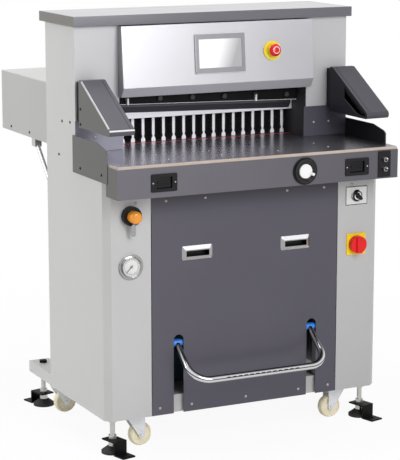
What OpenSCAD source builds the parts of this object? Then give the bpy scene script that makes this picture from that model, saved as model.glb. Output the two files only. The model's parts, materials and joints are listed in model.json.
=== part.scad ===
// Floor-standing hydraulic paper cutter with a programmable back gauge.
// Millimetres, +Z up, the operator stands at -Y. The origin lies on the floor at the middle of the outline.
// Depths are written from the front face of the lower casings, heights from the floor.

/* [Body] */
// Width across the casings
body_w = 958; // [940:1:1000]
// Height of the casings' underside above the floor
base_z = 110; // [106:1:125]
// Depth of the casings
casing_depth = 458; // [450:1:480]
// Thickness of the casing sheet
casing_t = 2.5; // [1.5:0.1:4]
// Chamfer on the upright front corners of the lower casings
corner_cut = 20; // [8:1:30]
// Width of each column
column_w = 148; // [140:1:160]
// Set-back of the columns behind the lower front
column_front = 219; // [214:1:226]
// Height of the seam between lower casing and column
seam_z = 865; // [850:1:866]

/* [Top cover] */
// Overall height
top_z = 1330; // [1322:1:1360]
// Height of the cover's skirt
cover_h = 31.5; // [20:0.5:34]
// Overhang past the casings at each side
cover_side = 9.5; // [8:0.5:20]
// Overhang in front of the columns
cover_front = 17; // [8:1:22]
// Overhang behind the columns
cover_back = 25; // [5:1:35]
// Sheet thickness of the cover
cover_t = 3; // [2:0.5:6]

/* [Table] */
// Height of the table top
table_z = 913; // [911:1:925]
// Thickness of the table
table_t = 45; // [40:1:47]
// Overhang of the table in front of the body
table_front = 104; // [95:1:115]
// Bevel along the table's front edge
edge_bevel = 6; // [3:0.5:7]
// Thickness of the table's front lip
lip_t = 8.7; // [8:0.1:12]
// Length of the table behind the columns
table_tail = 10; // [8:1:14]
// Height of the front apron's lower edge
apron_z = 814; // [808:1:818]
// Sheet thickness of the apron
apron_t = 2.5; // [1.5:0.1:4]
// Distance of the cutting line behind the lower front
cut_y = 312; // [308:1:318]
// Width of the cutting stick
stick_w = 12; // [8:1:14]
// Depth of the cutting stick
stick_h = 8; // [5:1:12]

/* [Knife and clamp] */
// Thickness of the knife
knife_t = 12; // [9:0.5:14]
// Height of the knife blade
knife_h = 80; // [70:1:84]
// Height of the knife's ground bevel
bevel_h = 20; // [14:1:24]
// Slope of the knife at rest, in degrees
knife_tilt = 1.5; // [1:0.1:1.8]
// Stroke of the knife
knife_stroke = 100; // [97:1:105]
// Thickness of the knife carrier
carrier_t = 32; // [26:1:36]
// Height of the knife carrier
carrier_h = 92; // [86:1:100]
// Blade standing out below the carrier
blade_out = 30; // [24:1:34]
// Stroke of the clamp
clamp_stroke = 79; // [70:1:82]
// Depth of the clamp beam
clamp_t = 46; // [40:1:50]
// Height of the clamp beam
clamp_h = 100; // [85:1:110]
// Depth of the clamp's solid front wall
clamp_wall = 17; // [12:1:20]
// Diameter of the clamp and knife cylinder rods
rod_d = 30; // [24:1:36]
// Distance of each clamp rod from the middle
clamp_rod_x = 180; // [150:1:220]

/* [Back gauge] */
// Number of gauge fingers
finger_n = 18; // [10:2:18]
// Width of a finger
finger_w = 11; // [8:0.5:13]
// Width of the slots in the clamp
finger_slot = 16; // [15:0.5:18]
// Depth of a finger
finger_depth = 28; // [28:1:34]
// Finger face behind the cutting line at rest
gauge_min = 23; // [22:1:26]
// Height of the gauge fingers
gauge_h = 90; // [70:1:100]
// Depth of the gauge bar
gauge_bar_t = 28; // [20:1:32]
// Travel of the back gauge
gauge_travel = 600; // [500:10:605]
// Diameter of the lead screw
screw_d = 20; // [16:1:24]
// Drop of the lead screw's axis below the table top
screw_drop = 98; // [90:1:104]

/* [Rear table] */
// Width of the rear table guard
rear_w = 810; // [780:1:860]
// Distance of the guard's rear wall behind the lower front
rear_end = 1062; // [1054:1:1100]
// Height of the guard's walls
guard_h = 200; // [180:1:210]
// Sheet thickness of the guard
guard_t = 2.5; // [1.5:0.1:4]
// Thickness of the rear table
rear_table_t = 30; // [20:1:36]
// Opening angle of the rear lid, in degrees
lid_open = 75; // [45:1:78]

/* [Guards] */
// Thickness of the side guard plates
plate_t = 4; // [3:0.5:5]
// Height of the side plates above the table
plate_up = 53; // [40:1:60]
// Height of the front plates above the table
front_plate_up = 97; // [80:1:98]
// Reach of the front plates into the opening
front_plate_in = 10; // [4:1:14]
// Width of a light-curtain arm
arm_w = 81; // [70:1:90]
// Length of an arm in front of its bracket
arm_len = 233; // [220:1:240]
// Height of an arm
arm_h = 144; // [130:1:150]
// Height of an arm's underside above the table
arm_up = 82; // [76:1:90]
// Depth of the bracket behind an arm
bracket_t = 34; // [25:1:38]
// Wall of an arm
arm_t = 3; // [2:0.5:5]
// Radius of an arm's nose
nose_r = 12; // [8:1:16]
// Side of the square light-curtain bar
curtain_d = 22; // [16:1:26]

/* [Control panel] */
// Overlap of the control panel on each column
panel_lap = 4; // [3:0.5:9]
// Height of the panel's lower edge
panel_z = 1077; // [1068:1:1084]
// Height of the chin
chin_h = 29; // [20:1:36]
// Depth of the panel at its chin
chin_y = 42; // [38:1:48]
// Depth of the panel at its top and foot
brow_y = 25; // [20:1:30]
// Sheet thickness of the panel
panel_t = 3; // [2:0.5:4]
// Width of the screen's bezel
bezel_w = 176; // [150:1:220]
// Height of the screen's bezel
bezel_h = 125; // [110:1:140]
// Thickness of the screen's bezel
bezel_t = 6; // [4:0.5:9]
// Width of the glass
glass_w = 150; // [130:1:160]
// Height of the glass
glass_h = 90; // [76:1:100]
// Distance of the emergency stop from the middle
estop_x = 186; // [160:1:230]
// Diameter of the emergency stop's collar
estop_collar_d = 62; // [50:1:70]
// Diameter of the emergency stop's head
estop_d = 40; // [34:1:46]
// Travel of the emergency stop
estop_travel = 5; // [3:0.5:6]

/* [Apron fittings] */
// Distance of each cut button inside the casing's side
cut_button_in = 147; // [139:1:179]
// Height of the fittings' centres
apron_fit_z = 858; // [856:1:861]
// Width of a cut-button plate
cut_plate_w = 85; // [80:1:95]
// Height of a cut-button plate
cut_plate_h = 54; // [46:1:60]
// Width of a cut button
cut_button_w = 52; // [46:1:54]
// Height of a cut button
cut_button_h = 34; // [28:1:38]
// Travel of a cut button
cut_travel = 4; // [2:0.5:5]
// Distance of the toggle plate inside the casing's side
toggle_in = 48; // [39:1:54]
// Width of the toggle plate
toggle_plate_w = 45; // [40:1:50]
// Height of the toggle plate
toggle_plate_h = 82; // [74:1:84]
// Distance between the toggles
toggle_gap = 30; // [24:1:40]
// Tilt of a toggle to each side, in degrees
toggle_tilt = 12; // [6:1:15]
// Distance of the handwheel from the middle
wheel_x = 146; // [120:1:170]
// Diameter of the handwheel's bezel
wheel_bezel_d = 84; // [81:1:86]
// Diameter of the handwheel
wheel_d = 74; // [70:1:76]
// Reach of the handwheel's knob in front of the apron
wheel_reach = 24; // [24:1:36]

/* [Column fittings] */
// Distance of the column fittings inside the casing's side
fit_in = 84; // [79:1:89]
// Height of the selector and of the pressure knob
fit_upper_z = 746; // [730:1:755]
// Height of the main switch and of the pressure gauge
fit_lower_z = 589; // [560:1:610]
// Width of the selector plate
selector_w = 80; // [70:1:90]
// Height of the selector plate
selector_h = 60; // [50:1:66]
// Side of the main switch plate
switch_side = 69; // [64:1:76]
// Diameter of the main switch knob
switch_knob_d = 56; // [50:1:60]
// Diameter of the pressure valve's collar
valve_d = 60; // [52:1:66]
// Diameter of the pressure knob
valve_knob_d = 38; // [30:1:44]
// Length of the pressure knob
valve_knob_len = 34; // [24:1:40]
// Diameter of the pressure gauge's flange
gauge_flange_d = 80; // [74:1:84]
// Diameter of the pressure gauge's case
gauge_d = 64; // [56:1:68]

/* [Front panel and pedal] */
// Lap of each lower casing in front of its column
front_lap = 4; // [3.5:0.5:11]
// Distance of each pedal slot from the front panel's edge
slot_in = 92; // [82:1:107]
// Width of a pedal slot
slot_w = 34; // [32:1:42]
// Height of a pedal slot's top
slot_z = 360; // [340:1:390]
// Distance of each handle from the front panel's edge
handle_in = 155; // [137:1:177]
// Height of the handles
handle_z = 614; // [560:1:660]
// Width of a handle
handle_w = 104; // [90:1:116]
// Height of a handle
handle_h = 44; // [38:1:50]
// Diameter of the pedal tube
pedal_d = 18; // [14:1:20]
// Length of the pedal from its shaft
pedal_len = 155; // [145:1:160]
// Radius of the pedal's bends
pedal_bend = 60; // [40:1:70]
// Slope of the pedal at rest, in degrees
pedal_slope = 38; // [36:1:44]
// Diameter of the pedal shaft
pedal_shaft_d = 14; // [12:1:16]
// Distance of the pedal shaft behind the lower front
pedal_y = 16; // [15:1:18]
// Height of the pedal shaft
pedal_z = 331; // [322:1:340]

/* [Feet and casters] */
// Distance of each foot inside the casing's side
foot_in = 36; // [33:1:39]
// Distance of the front feet behind the lower front
foot_front_y = 40; // [38:1:46]
// Distance of the rear feet behind the lower front
foot_rear_y = 615; // [600:1:625]
// Radius of a foot pad
pad_r = 35; // [30:1:35.5]
// Diameter of a foot's threaded rod
foot_rod_d = 16; // [12:1:20]
// Width of an anchor bracket
anchor_w = 48; // [40:1:50]
// Length of an anchor bracket's floor flange
anchor_len = 43; // [36:1:50]
// Thickness of an anchor bracket
anchor_t = 5; // [4:0.5:6]
// Turn of the anchor brackets about their rods, in degrees
anchor_turn = 14; // [0:1:15]
// Diameter of an anchor hole
anchor_hole_d = 13; // [10:0.5:16]
// Distance of each front caster inside the casing's side
caster_front_in = 113; // [111:1:124]
// Distance of the front casters behind the lower front
caster_front_y = 64; // [60:1:70]
// Distance of each rear caster inside the casing's side
caster_rear_in = 40; // [37:1:47]
// Distance of the rear casters behind the lower front
caster_rear_y = 499; // [490:1:510]
// Diameter of a caster wheel
caster_d = 75; // [70:1:78]
// Width of a caster wheel
caster_w = 28; // [22:1:30]
// Trail of a caster
caster_trail = 25; // [20:1:28]
// Height of the caster wheels above the floor while the feet carry the machine
caster_lift = 3; // [1:0.5:6]

/* [Hidden] */
$fn = 48;

// Clearances: a running fit's radius, parts that move past each other, and fixed parts side by side
run = 0.05;
gap = 0.3;
seat = 0.2;

// Main planes
half = body_w / 2;
column_in = half - column_w;
front_w = 2 * (column_in - front_lap);
panel_w = 2 * (column_in + panel_lap);
slot_x = front_w / 2 - slot_in;
handle_x = front_w / 2 - handle_in;
fit_x = half - fit_in;
cut_button_x = half - cut_button_in;
toggle_x = half - toggle_in;
foot_x = half - foot_in;
caster_front_x = half - caster_front_in;
caster_rear_x = half - caster_rear_in;
clamp_y = cut_y + 2;
clamp_back = clamp_y + clamp_t;
finger_y = cut_y + gauge_min;
gauge_y = max(clamp_back + 2.5, finger_y + finger_depth);
nut_len = 32;
bearing_t = 15;
bearing_rear_y = gauge_y + nut_len + gauge_travel + 8;
// The guard's rear wall leaves room for the gauge's whole travel
rear_wall = max(rear_end, bearing_rear_y + bearing_t + 44);
y_body = (table_front + wheel_reach - rear_wall) / 2;
cover_z = top_z - cover_h;
table_u = table_z - table_t;
relief_z = table_u + 10;
rear_table_u = table_z - rear_table_t;

// Frame members
cheek_in = column_in + 2;
rail_w = 70;
rail_h = 37;
rail_front = corner_cut + casing_t + 1;
rail_end = foot_rear_y + 43;
rail_out = half - casing_t;
beam_h = 56;
beam_d = 80;
beam_front = 12;
beam_top = base_z + beam_h;
beam_rear = casing_depth - 8;
tray_half = slot_x + 60;
tray_t = 6;
tank_w = cheek_in * 1.14;
tank_shift = cheek_in * 0.15;
tank_d = 300;
tank_h = 240;
tank_front = beam_rear - tank_d;
tank_top = beam_top + tank_h;
pump_d = 150;
pump_h = 230;
manifold_h = 90;
manifold_in = 50;
cheek_t = 30;
cheek_foot_y = 20;
cheek_back = casing_depth - 6;
portal_front = column_front + 5;
portal_top = cover_z - 8;
lug_t = 12;
lug_x = slot_x + 27;
lug_front = casing_t + 1.5;
lug_back = pedal_y + 24;
lug_top = pedal_z + 16;
sleeve_d = 2 * (pedal_y - casing_t - 2);
sleeve_len = 44;
edge_slot = 2;
edge_slot_u = base_z + 50;
edge_slot_top = seam_z - 123;
top_plate_t = 25;
top_plate_z = cover_z - 108;

// Knife, carrier and clamp in the level position, raised by the stroke
knife_edge = table_z + gap + knife_stroke;
carrier_back = cut_y - knife_t;
carrier_front = carrier_back - carrier_t;
carrier_u = knife_edge + blade_out;
barrel_d = rod_d + 20;
flange_d = barrel_d + 20;
pivot_x = -(cheek_in - flange_d / 2 - 2);
pivot_z = carrier_u + 67;
pivot_d = 24;
knife_half = cheek_in - 8;
carrier_bolt_pitch = knife_half * 0.35;
guide_t = 31;
guide_y = carrier_front - gap - guide_t;
guide_h = 62;
guide_w = 60;
clamp_u = table_z + gap + clamp_stroke;
clamp_rod_y = clamp_y + clamp_t / 2;
barrel_u = top_plate_z - 40;
barrel_top = cover_z - 10;
rod_top = barrel_top - 8;
cylinder_places = [[-clamp_rod_x, clamp_rod_y], [clamp_rod_x, clamp_rod_y],
  [pivot_x, guide_y + guide_t / 2]];

// Back gauge and its drive
gauge_u = table_z + 2 * gap;
foot_more = 1.5;
neck_less = 2.2;
neck_u = 16;
neck_w = finger_w / 2 - neck_less;
foot_w = finger_w / 2 + foot_more;
// Right side of a finger's front, from its foot to its top
finger_side = [[foot_w, 0], [foot_w, neck_u - 7], [neck_w, neck_u - 1], [neck_w, neck_u + 3],
  [finger_w / 2, neck_u + 9], [finger_w / 2, gauge_h]];
finger_pitch = 2 * (cheek_in - 9) / finger_n;
finger_places = [for (i = [0:finger_n - 1]) (i - (finger_n - 1) / 2) * finger_pitch];
gauge_half = cheek_in - 11;
tongue_w = 12;
tongue_slot = 18;
screw_z = table_z - screw_drop;
nut_w = 50;
nut_h = 40;
bearing_y = gauge_y - 4 - bearing_t;
motor_side = 76;
motor_len = 90;
hub_len = 18;
motor_y = bearing_y - hub_len - motor_len - 2 * gap;

// Rear table and guard
rear_half = rear_w / 2;
rear_front = casing_depth + table_tail + seat;
guard_u = rear_table_u - 2;
guard_top = guard_u + guard_h;
guard_front = casing_depth + seat;
hinge_rail = 13;
hinge_y = guard_front + 12;
hinge_z = guard_top + 6;
hinge_d = 6;
hinge_places = [-rear_half * 0.7, rear_half * 0.7];
strut_x = rear_half - 15;
strut_d = 14;
strut_low = [casing_depth + 14, 557];
strut_high = [776, rear_table_u - 16];

// Control panel
panel_top = cover_z - 2.5;
panel_back = column_front - 0.5;
face_y_top = column_front - brow_y;
face_y_low = column_front - chin_y;
face_z_low = panel_z + chin_h;
panel_tilt = atan2(face_y_top - face_y_low, panel_top - face_z_low);
panel_mid_z = (panel_top + face_z_low) / 2;
estop_shaft_d = 16;
estop_neck_d = 30;
estop_neck = 10;
estop_collar_t = 4;

// Guards and arms
plate_in = half + seat;
plate_out = plate_in + plate_t;
front_plate_y = column_front - seat - plate_t;
plate_u = table_z - 62;
plate_front_y = -31;
guard_gap = 2.5;
plate_back_y = column_front + 16;
arm_back = column_front - seat - bracket_t;
arm_u = table_z + arm_up;
arm_top = arm_u + arm_h;
arm_flat = 17;
arm_out = half + 2;
arm_in = arm_out - arm_w;
nose = [arm_back - arm_len + nose_r, arm_u + nose_r];
crown = [arm_back - arm_flat, arm_top];
nose_angle = atan2(crown[1] - nose[1], crown[0] - nose[0]) + acos(nose_r / norm(crown - nose));
arm_slope = nose_angle - 90;
// Corners of the window in an arm's inner side, from the middle of its nose
arm_window = [[-4, -4], [44, -4], [132, 40], [132, 78], [-2, 1]];

// Front fittings: planes that the fittings stand on
apron_y = -table_front;
apron_top = table_z - lip_t - gap;
apron_side = half + seat;
handle_t = 7;
mouth_w = handle_w - 26;
mouth_h = handle_h - 26;
mouth_z = -2;
handle_cup = 16;
handle_wall = 2.5;
handle_hole_w = handle_w - 15;
handle_hole_h = handle_h - 11;
cut_plate_t = 3;
cut_cup_t = 2;
cut_cup_len = 22;
cut_sink = 3;
cut_cup_w = cut_button_w + 2 * gap + 2 * cut_cup_t;
cut_cup_h = cut_button_h + 2 * gap + 2 * cut_cup_t;
toggle_plate_t = 3;
toggle_nut_d = 15;
toggle_ball_d = 10;
toggle_nut_len = 9;
toggle_pin_d = 2;
toggle_len = 13;
toggle_mid = apron_fit_z + 2;
toggle_y = apron_y - toggle_plate_t - toggle_nut_len / 2;
toggle_heights = [toggle_mid + toggle_gap / 2, toggle_mid - toggle_gap / 2];
wheel_bezel_t = 4;
wheel_seat = 2;
wheel_face = 5;
wheel_shaft_d = 10;
dial_r = 22;
wheel_knob_turn = 25;
knob_shaft_d = 8;
selector_t = 2;
switch_t = 4;
valve_len = 18;
valve_knob_r = valve_knob_d / 2;
gauge_flange_t = 4;
gauge_len = 12;
gauge_rim = 3;
gauge_sink = 8;
glass_sink = 3;
needle_post_d = 3;
needle_y = -gauge_len + glass_sink + 2;

// Feet
foot_shoulder_z = 40;
foot_nut_h = 12;
foot_lock_h = 8;
anchor_y = pad_r + 1;
anchor_hole_y = anchor_y + anchor_t + anchor_len / 2;

// Casters
caster_z = caster_lift + caster_d / 2;
caster_plate = 60;
caster_plate_t = 4;
kingpin_d = 12;
axle_d = 10;
fork_t = 3;
fork_half = caster_w / 2 + 3;
fork_r = 11;
fork_end = caster_trail + fork_r;

// Screws
head_d = 9;
head_h = 2.2;
shank_d = 4.8;
screw_hole_d = 5;
small_screw = 0.6;

function pair(list) = concat(list, [for (p = list) [-p[0], p[1]]]);
panel_screws = concat(pair([[front_w / 2 - 28, base_z + 22], [front_w / 2 - 137, base_z + 22],
  [front_w / 2 - 51, seam_z - 83], [front_w / 2 - 184, seam_z - 83]]),
  [[0, base_z + 22]]);
lower_screws = pair([[column_in + 47, seam_z - 82]]);
plate_screws = pair([[column_in + 28, table_z + 44], [column_in + 84, table_z + 44]]);
cut_screws = [for (s = [-1, 1], e = [-1, 1]) [s * cut_button_x + e * (cut_plate_w / 2 - 6), apron_fit_z]];
column_screws = [[column_front + 107, seam_z + 133], [column_front + 42, seam_z + 137],
  [column_front + 136, seam_z + 25]];
guard_screws = [[plate_back_y - 61, plate_u + 20], [plate_front_y + 42, plate_u + 23]];
arm_screws = [[arm_back - 12, arm_u + 58], [arm_back - 12, arm_u + 11]];
rear_screws = [[rear_wall - 87, rear_table_u + 14], [rear_wall - 260, rear_table_u + 14]];

// Shared shapes
module placed() translate([0, y_body, 0]) children();

module both_sides() {
  children();
  mirror([1, 0, 0]) children();
}

module block(a, b) translate(a) cube(b - a);

// A plate with an outline in depth and height, between two distances from the middle
module profile(x0, x1) translate([x0, 0, 0]) rotate([90, 0, 90]) linear_extrude(x1 - x0) children();

module along_x(d, x0, x1) translate([x0, 0, 0]) rotate([0, 90, 0]) cylinder(d = d, h = x1 - x0);

module along_y(d, y0, y1) translate([0, y0, 0]) rotate([-90, 0, 0]) cylinder(d = d, h = y1 - y0);

module nut(d, z0, h) translate([0, 0, z0]) cylinder(d = d, h = h, $fn = 6);

module along_z(d, z0, z1) translate([0, 0, z0]) cylinder(d = d, h = z1 - z0);

module front_rows(list, y) for (p = list) translate([p[0], y, p[1]]) rotate([90, 0, 0]) children();

module side_rows(list, x) both_sides() for (p = list) translate([x, p[0], p[1]]) rotate([0, 90, 0])
  children();

module screw(wall) {
  cylinder(d = head_d, h = head_h);
  translate([0, 0, -wall]) cylinder(d = shank_d, h = wall);
}

module screw_hole() translate([0, 0, -8]) cylinder(d = screw_hole_d, h = 16);

module rounded(w, h, r) {
  square([w - 2 * r, h], center = true);
  square([w, h - 2 * r], center = true);
  for (x = [-1, 1], y = [-1, 1]) translate([x * (w / 2 - r), y * (h / 2 - r)]) circle(r);
}

// A rounded plate standing upright, seen from the front, between two depths
module upright(w, h, r, y0, y1) translate([0, y1, 0]) rotate([90, 0, 0]) linear_extrude(y1 - y0)
  rounded(w, h, r);

// Places of the four feet and four casters: distance from the middle and depth
module at_feet() for (x = [-foot_x, foot_x]) {
  translate([x, foot_front_y, 0]) rotate([0, 0, anchor_turn]) children();
  translate([x, foot_rear_y, 0]) rotate([0, 0, 180 + anchor_turn]) children();
}

module at_casters() for (s = [-1, 1]) {
  translate([s * caster_front_x, caster_front_y, 0]) children();
  translate([s * caster_rear_x, caster_rear_y, 0]) children();
}

// Frame
module base_frame() placed() color("lightgray") difference() {
  union() {
    both_sides() {
      block([rail_out - rail_w, rail_front, base_z], [rail_out, rail_end, base_z + rail_h]);
      block([lug_x, lug_front, beam_top - 1], [lug_x + lug_t, lug_back, lug_top]);
    }
    block([-rail_out + rail_w - 1, beam_front, base_z],
      [rail_out - rail_w + 1, beam_front + beam_d, beam_top]);
    block([-rail_out + rail_w - 1, beam_rear - beam_d, base_z],
      [rail_out - rail_w + 1, beam_rear, beam_top]);
    block([-tray_half, beam_front + beam_d - 1, beam_top - tray_t],
      [tray_half, beam_rear - beam_d + 1, beam_top]);
    at_casters() block([-caster_plate / 2, -caster_plate / 2, base_z - caster_plate_t],
      [caster_plate / 2, caster_plate / 2, base_z + 1]);
  }
  at_feet() along_z(foot_rod_d + 2 * seat, base_z - 5, base_z + rail_h + 5);
  at_casters() along_z(kingpin_d + 2 * run, base_z - caster_plate_t - 1, base_z + 25);
  translate([0, pedal_y, pedal_z]) along_x(pedal_shaft_d + 2 * run, -lug_x - lug_t - 1, lug_x + lug_t + 1);
}

module portal_frame() placed() color("dimgray") {
  both_sides() profile(cheek_in, cheek_in + cheek_t) polygon([
    [cheek_foot_y, beam_top], [cheek_back, beam_top], [cheek_back, portal_top],
    [portal_front, portal_top], [portal_front, seam_z - 2], [column_front - 2, seam_z - 2],
    [column_front - 2, table_u], [cheek_foot_y, table_u]]);
  difference() {
    union() {
      block([-cheek_in, portal_front, top_plate_z], [cheek_in, cheek_back, top_plate_z + top_plate_t]);
      block([-cheek_in, cheek_back - 40, top_plate_z - 60], [cheek_in, cheek_back, top_plate_z + 1]);
    }
    for (p = cylinder_places) translate([p[0], p[1], 0])
      along_z(barrel_d + 2 * seat, top_plate_z - 1, cover_z);
  }
}

// Casings and covers
module casing_outline(t) {
  bend = t * (sqrt(2) - 1);
  polygon([[front_w / 2 + 0.5, t], [half - corner_cut - bend, t], [half - t, corner_cut + bend],
    [half - t, casing_depth - t], [front_w / 2 + 0.5, casing_depth - t]]);
}

module lower_casings() placed() color("silver") difference() {
  both_sides() translate([0, 0, base_z]) linear_extrude(seam_z - base_z) difference() {
    casing_outline(0);
    casing_outline(casing_t);
  }
  front_rows(lower_screws, 0) screw_hole();
  both_sides() for (z = [fit_upper_z, fit_lower_z])
    translate([fit_x, 0, z]) along_y(knob_shaft_d + 12, -1, casing_t + 1);
  block([rail_out - rail_w - 1, casing_depth - casing_t - 1, base_z - 1],
    [rail_out + seat, casing_depth + 1, base_z + rail_h + seat]);
  block([-rail_out - seat, casing_depth - casing_t - 1, base_z - 1],
    [-rail_out + rail_w + 1, casing_depth + 1, base_z + rail_h + seat]);
}

module rear_panels() placed() color("silver") {
  lower_half = front_w / 2;
  block([-lower_half, casing_depth - casing_t, base_z + 2],
    [lower_half, casing_depth, screw_z - nut_h / 2 - 6]);
  block([-column_in + 0.5, casing_depth - casing_t, guard_top + 10],
    [column_in - 0.5, casing_depth, top_z - cover_t]);
}

module column_casings() placed() color("lightgray") difference() {
  both_sides() difference() {
    block([column_in, column_front, seam_z + seat], [half, casing_depth, top_z - cover_t]);
    block([column_in - 1, column_front + casing_t, seam_z - 1],
      [half - casing_t, casing_depth - casing_t, top_z]);
  }
  side_rows(column_screws, half) screw_hole();
}

module top_cover() placed() color("slategray") difference() {
  block([-half - cover_side, column_front - cover_front, cover_z],
    [half + cover_side, casing_depth + cover_back, top_z]);
  block([-half - cover_side + cover_t, column_front - cover_front + cover_t, cover_z - 1],
    [half + cover_side - cover_t, casing_depth + cover_back - cover_t, top_z - cover_t]);
}

module front_panel() placed() color("dimgray") difference() {
  block([-front_w / 2, 0, base_z], [front_w / 2, casing_t, table_u - 6]);
  both_sides() {
    translate([slot_x, 0, slot_z - slot_w / 2]) along_y(slot_w, -1, casing_t + 1);
    block([slot_x - slot_w / 2, -1, base_z - 1], [slot_x + slot_w / 2, casing_t + 1, slot_z - slot_w / 2]);
    translate([handle_x, 0, handle_z]) upright(handle_hole_w, handle_hole_h, 5, -1, casing_t + 1);
    block([front_w / 2 - edge_slot, -1, edge_slot_u], [front_w / 2 + 1, casing_t + 1, edge_slot_top]);
  }
  front_rows(panel_screws, 0) screw_hole();
}

// Flush pulls: a hood that slopes out to the mouth, with a cup behind it
module panel_handles() placed() color("silver") both_sides() translate([handle_x, 0, handle_z]) difference() {
  union() {
    hull() {
      upright(handle_w, handle_h, 6, -1, 0);
      translate([0, 0, mouth_z]) upright(mouth_w + 6, mouth_h + 6, 3, -handle_t, -1);
    }
    upright(handle_hole_w - 2 * seat, handle_hole_h - 2 * seat, 5, -0.5, handle_cup);
  }
  upright(handle_hole_w - 2 * handle_wall, handle_hole_h - 2 * handle_wall, 4, 0, handle_cup - 1.5);
  translate([0, 0, mouth_z]) upright(mouth_w, mouth_h, 2, -handle_t - 1, 1);
}

// Table and apron
module work_table() placed() color("dimgray") difference() {
  union() {
    profile(-half, half) polygon([[apron_y + 3, relief_z], [apron_y + 36, relief_z], [apron_y + 36, table_u],
      [column_front - 3, table_u], [column_front - 3, table_z], [apron_y + edge_bevel, table_z],
      [apron_y, table_z - edge_bevel], [apron_y, table_z - lip_t], [apron_y + 3, table_z - lip_t]]);
    block([-column_in + 1, column_front - 4, table_u], [column_in - 1, casing_depth + table_tail, table_z]);
  }
  block([-column_in, cut_y - stick_w / 2, table_z - stick_h],
    [column_in, cut_y + stick_w / 2, table_z + 1]);
  block([-tongue_slot / 2, gauge_y - 6, table_u - 1],
    [tongue_slot / 2, casing_depth + table_tail + 1, table_z + 1]);
}

module cutting_stick() placed() color("firebrick")
  block([-column_in + 4, cut_y - stick_w / 2 + seat, table_z - stick_h],
    [column_in - 4, cut_y + stick_w / 2 - seat, table_z]);

module front_apron() placed() color("slategray") difference() {
  union() {
    block([-apron_side - apron_t, apron_y, apron_z], [apron_side + apron_t, apron_y + apron_t, apron_top]);
    block([-apron_side - apron_t, apron_y, apron_z],
      [apron_side + apron_t, apron_y + 34, apron_z + apron_t]);
    both_sides() profile(apron_side, apron_side + apron_t) polygon([[apron_y, apron_z],
      [plate_front_y + 13, apron_z], [plate_front_y + 13, plate_u - 0.5],
      [plate_front_y - guard_gap, plate_u - 0.5], [plate_front_y - guard_gap, apron_top],
      [apron_y, apron_top]]);
  }
  both_sides() translate([cut_button_x, 0, apron_fit_z])
    upright(cut_cup_w + 2 * seat, cut_cup_h + 2 * seat, 3, apron_y - 1, apron_y + apron_t + 1);
  for (z = toggle_heights) translate([toggle_x, 0, z])
    along_y(toggle_ball_d + 2, apron_y - 1, apron_y + apron_t + 1);
  translate([wheel_x, 0, apron_fit_z]) along_y(wheel_shaft_d + 10, apron_y - 1, apron_y + apron_t + 1);
}

// Guards over the table
module side_guards() placed() color("dimgray") difference() {
  both_sides() {
    profile(plate_in, plate_out) polygon([[plate_front_y, plate_u], [plate_back_y, plate_u],
      [plate_back_y, table_z + plate_up], [45, table_z + plate_up], [-20, table_z + plate_up - 14],
      [plate_front_y, table_z + plate_up - 22]]);
    block([column_in - front_plate_in, front_plate_y, table_z + 0.5],
      [plate_in + 1, front_plate_y + plate_t, table_z + front_plate_up]);
  }
  front_rows(plate_screws, front_plate_y) screw_hole();
  side_rows(guard_screws, plate_out) screw_hole();
}

// Arm outline with its walls moved in by an inset
module arm_outline(inset) {
  r = nose_r - inset;
  touch = nose + r * [cos(nose_angle), sin(nose_angle)];
  top = arm_top - inset;
  top_y = touch[0] + (top - touch[1]) / tan(arm_slope);
  translate(nose) circle(r);
  polygon([[arm_back - inset, arm_u + inset], [arm_back - inset, top], [top_y, top], touch, nose,
    [nose[0], arm_u + inset]]);
}

module guard_arms() placed() color("slategray") difference() {
  both_sides() difference() {
    profile(arm_in, arm_out) arm_outline(0);
    profile(arm_in + arm_t, arm_out - arm_t) arm_outline(arm_t);
    profile(arm_in - 1, arm_in + arm_t + 1) translate(nose) polygon(arm_window);
  }
  side_rows(arm_screws, arm_out) screw_hole();
}

module light_curtains() placed() color("black") both_sides() {
  touch = nose + (nose_r - arm_t) * [cos(nose_angle), sin(nose_angle)];
  translate([0, touch[0], touch[1]]) rotate([arm_slope, 0, 0])
    block([arm_in + arm_t + 1, 20, -curtain_d], [arm_in + arm_t + 1 + curtain_d, 170, 0]);
  block([arm_in + 8, arm_back, table_z + front_plate_up + 2],
    [arm_out - 7, column_front - seat, arm_top - 7]);
}

// Control panel: a folded shell that is open at the back
module panel_outline(inset) polygon([
  [face_y_top + inset, panel_top - inset], [face_y_low + inset, face_z_low - inset / 4],
  [face_y_top + inset / 2, panel_z + inset], [panel_back + inset, panel_z + inset],
  [panel_back + inset, panel_top - inset]]);

// A spot on the sloping face, with -Y pointing out of it
module on_face(x, z) translate([x, face_y_low + (z - face_z_low) * tan(panel_tilt), z])
  rotate([-panel_tilt, 0, 0]) children();

module control_panel() placed() color("gainsboro") difference() {
  profile(-panel_w / 2, panel_w / 2) panel_outline(0);
  profile(-panel_w / 2 + panel_t, panel_w / 2 - panel_t) panel_outline(panel_t);
  on_face(estop_x, panel_mid_z) along_y(estop_shaft_d + 8, -1, 8);
}

module screen_bezel() placed() color("dimgray") on_face(0, panel_mid_z) difference() {
  upright(bezel_w, bezel_h, 6, -bezel_t, 0);
  upright(glass_w + 2 * seat, glass_h + 2 * seat, 1, -bezel_t - 1, -2);
}

module screen_glass() placed() color("lightgray") on_face(0, panel_mid_z)
  upright(glass_w, glass_h, 1, -bezel_t + 1.5, -2);

module estop_collar() placed() color("gold") on_face(estop_x, panel_mid_z) difference() {
  union() {
    along_y(estop_collar_d, -estop_collar_t, 0);
    along_y(estop_neck_d, -estop_neck, -1);
  }
  along_y(estop_shaft_d + 2 * run, -estop_neck - 1, 1);
}

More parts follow.
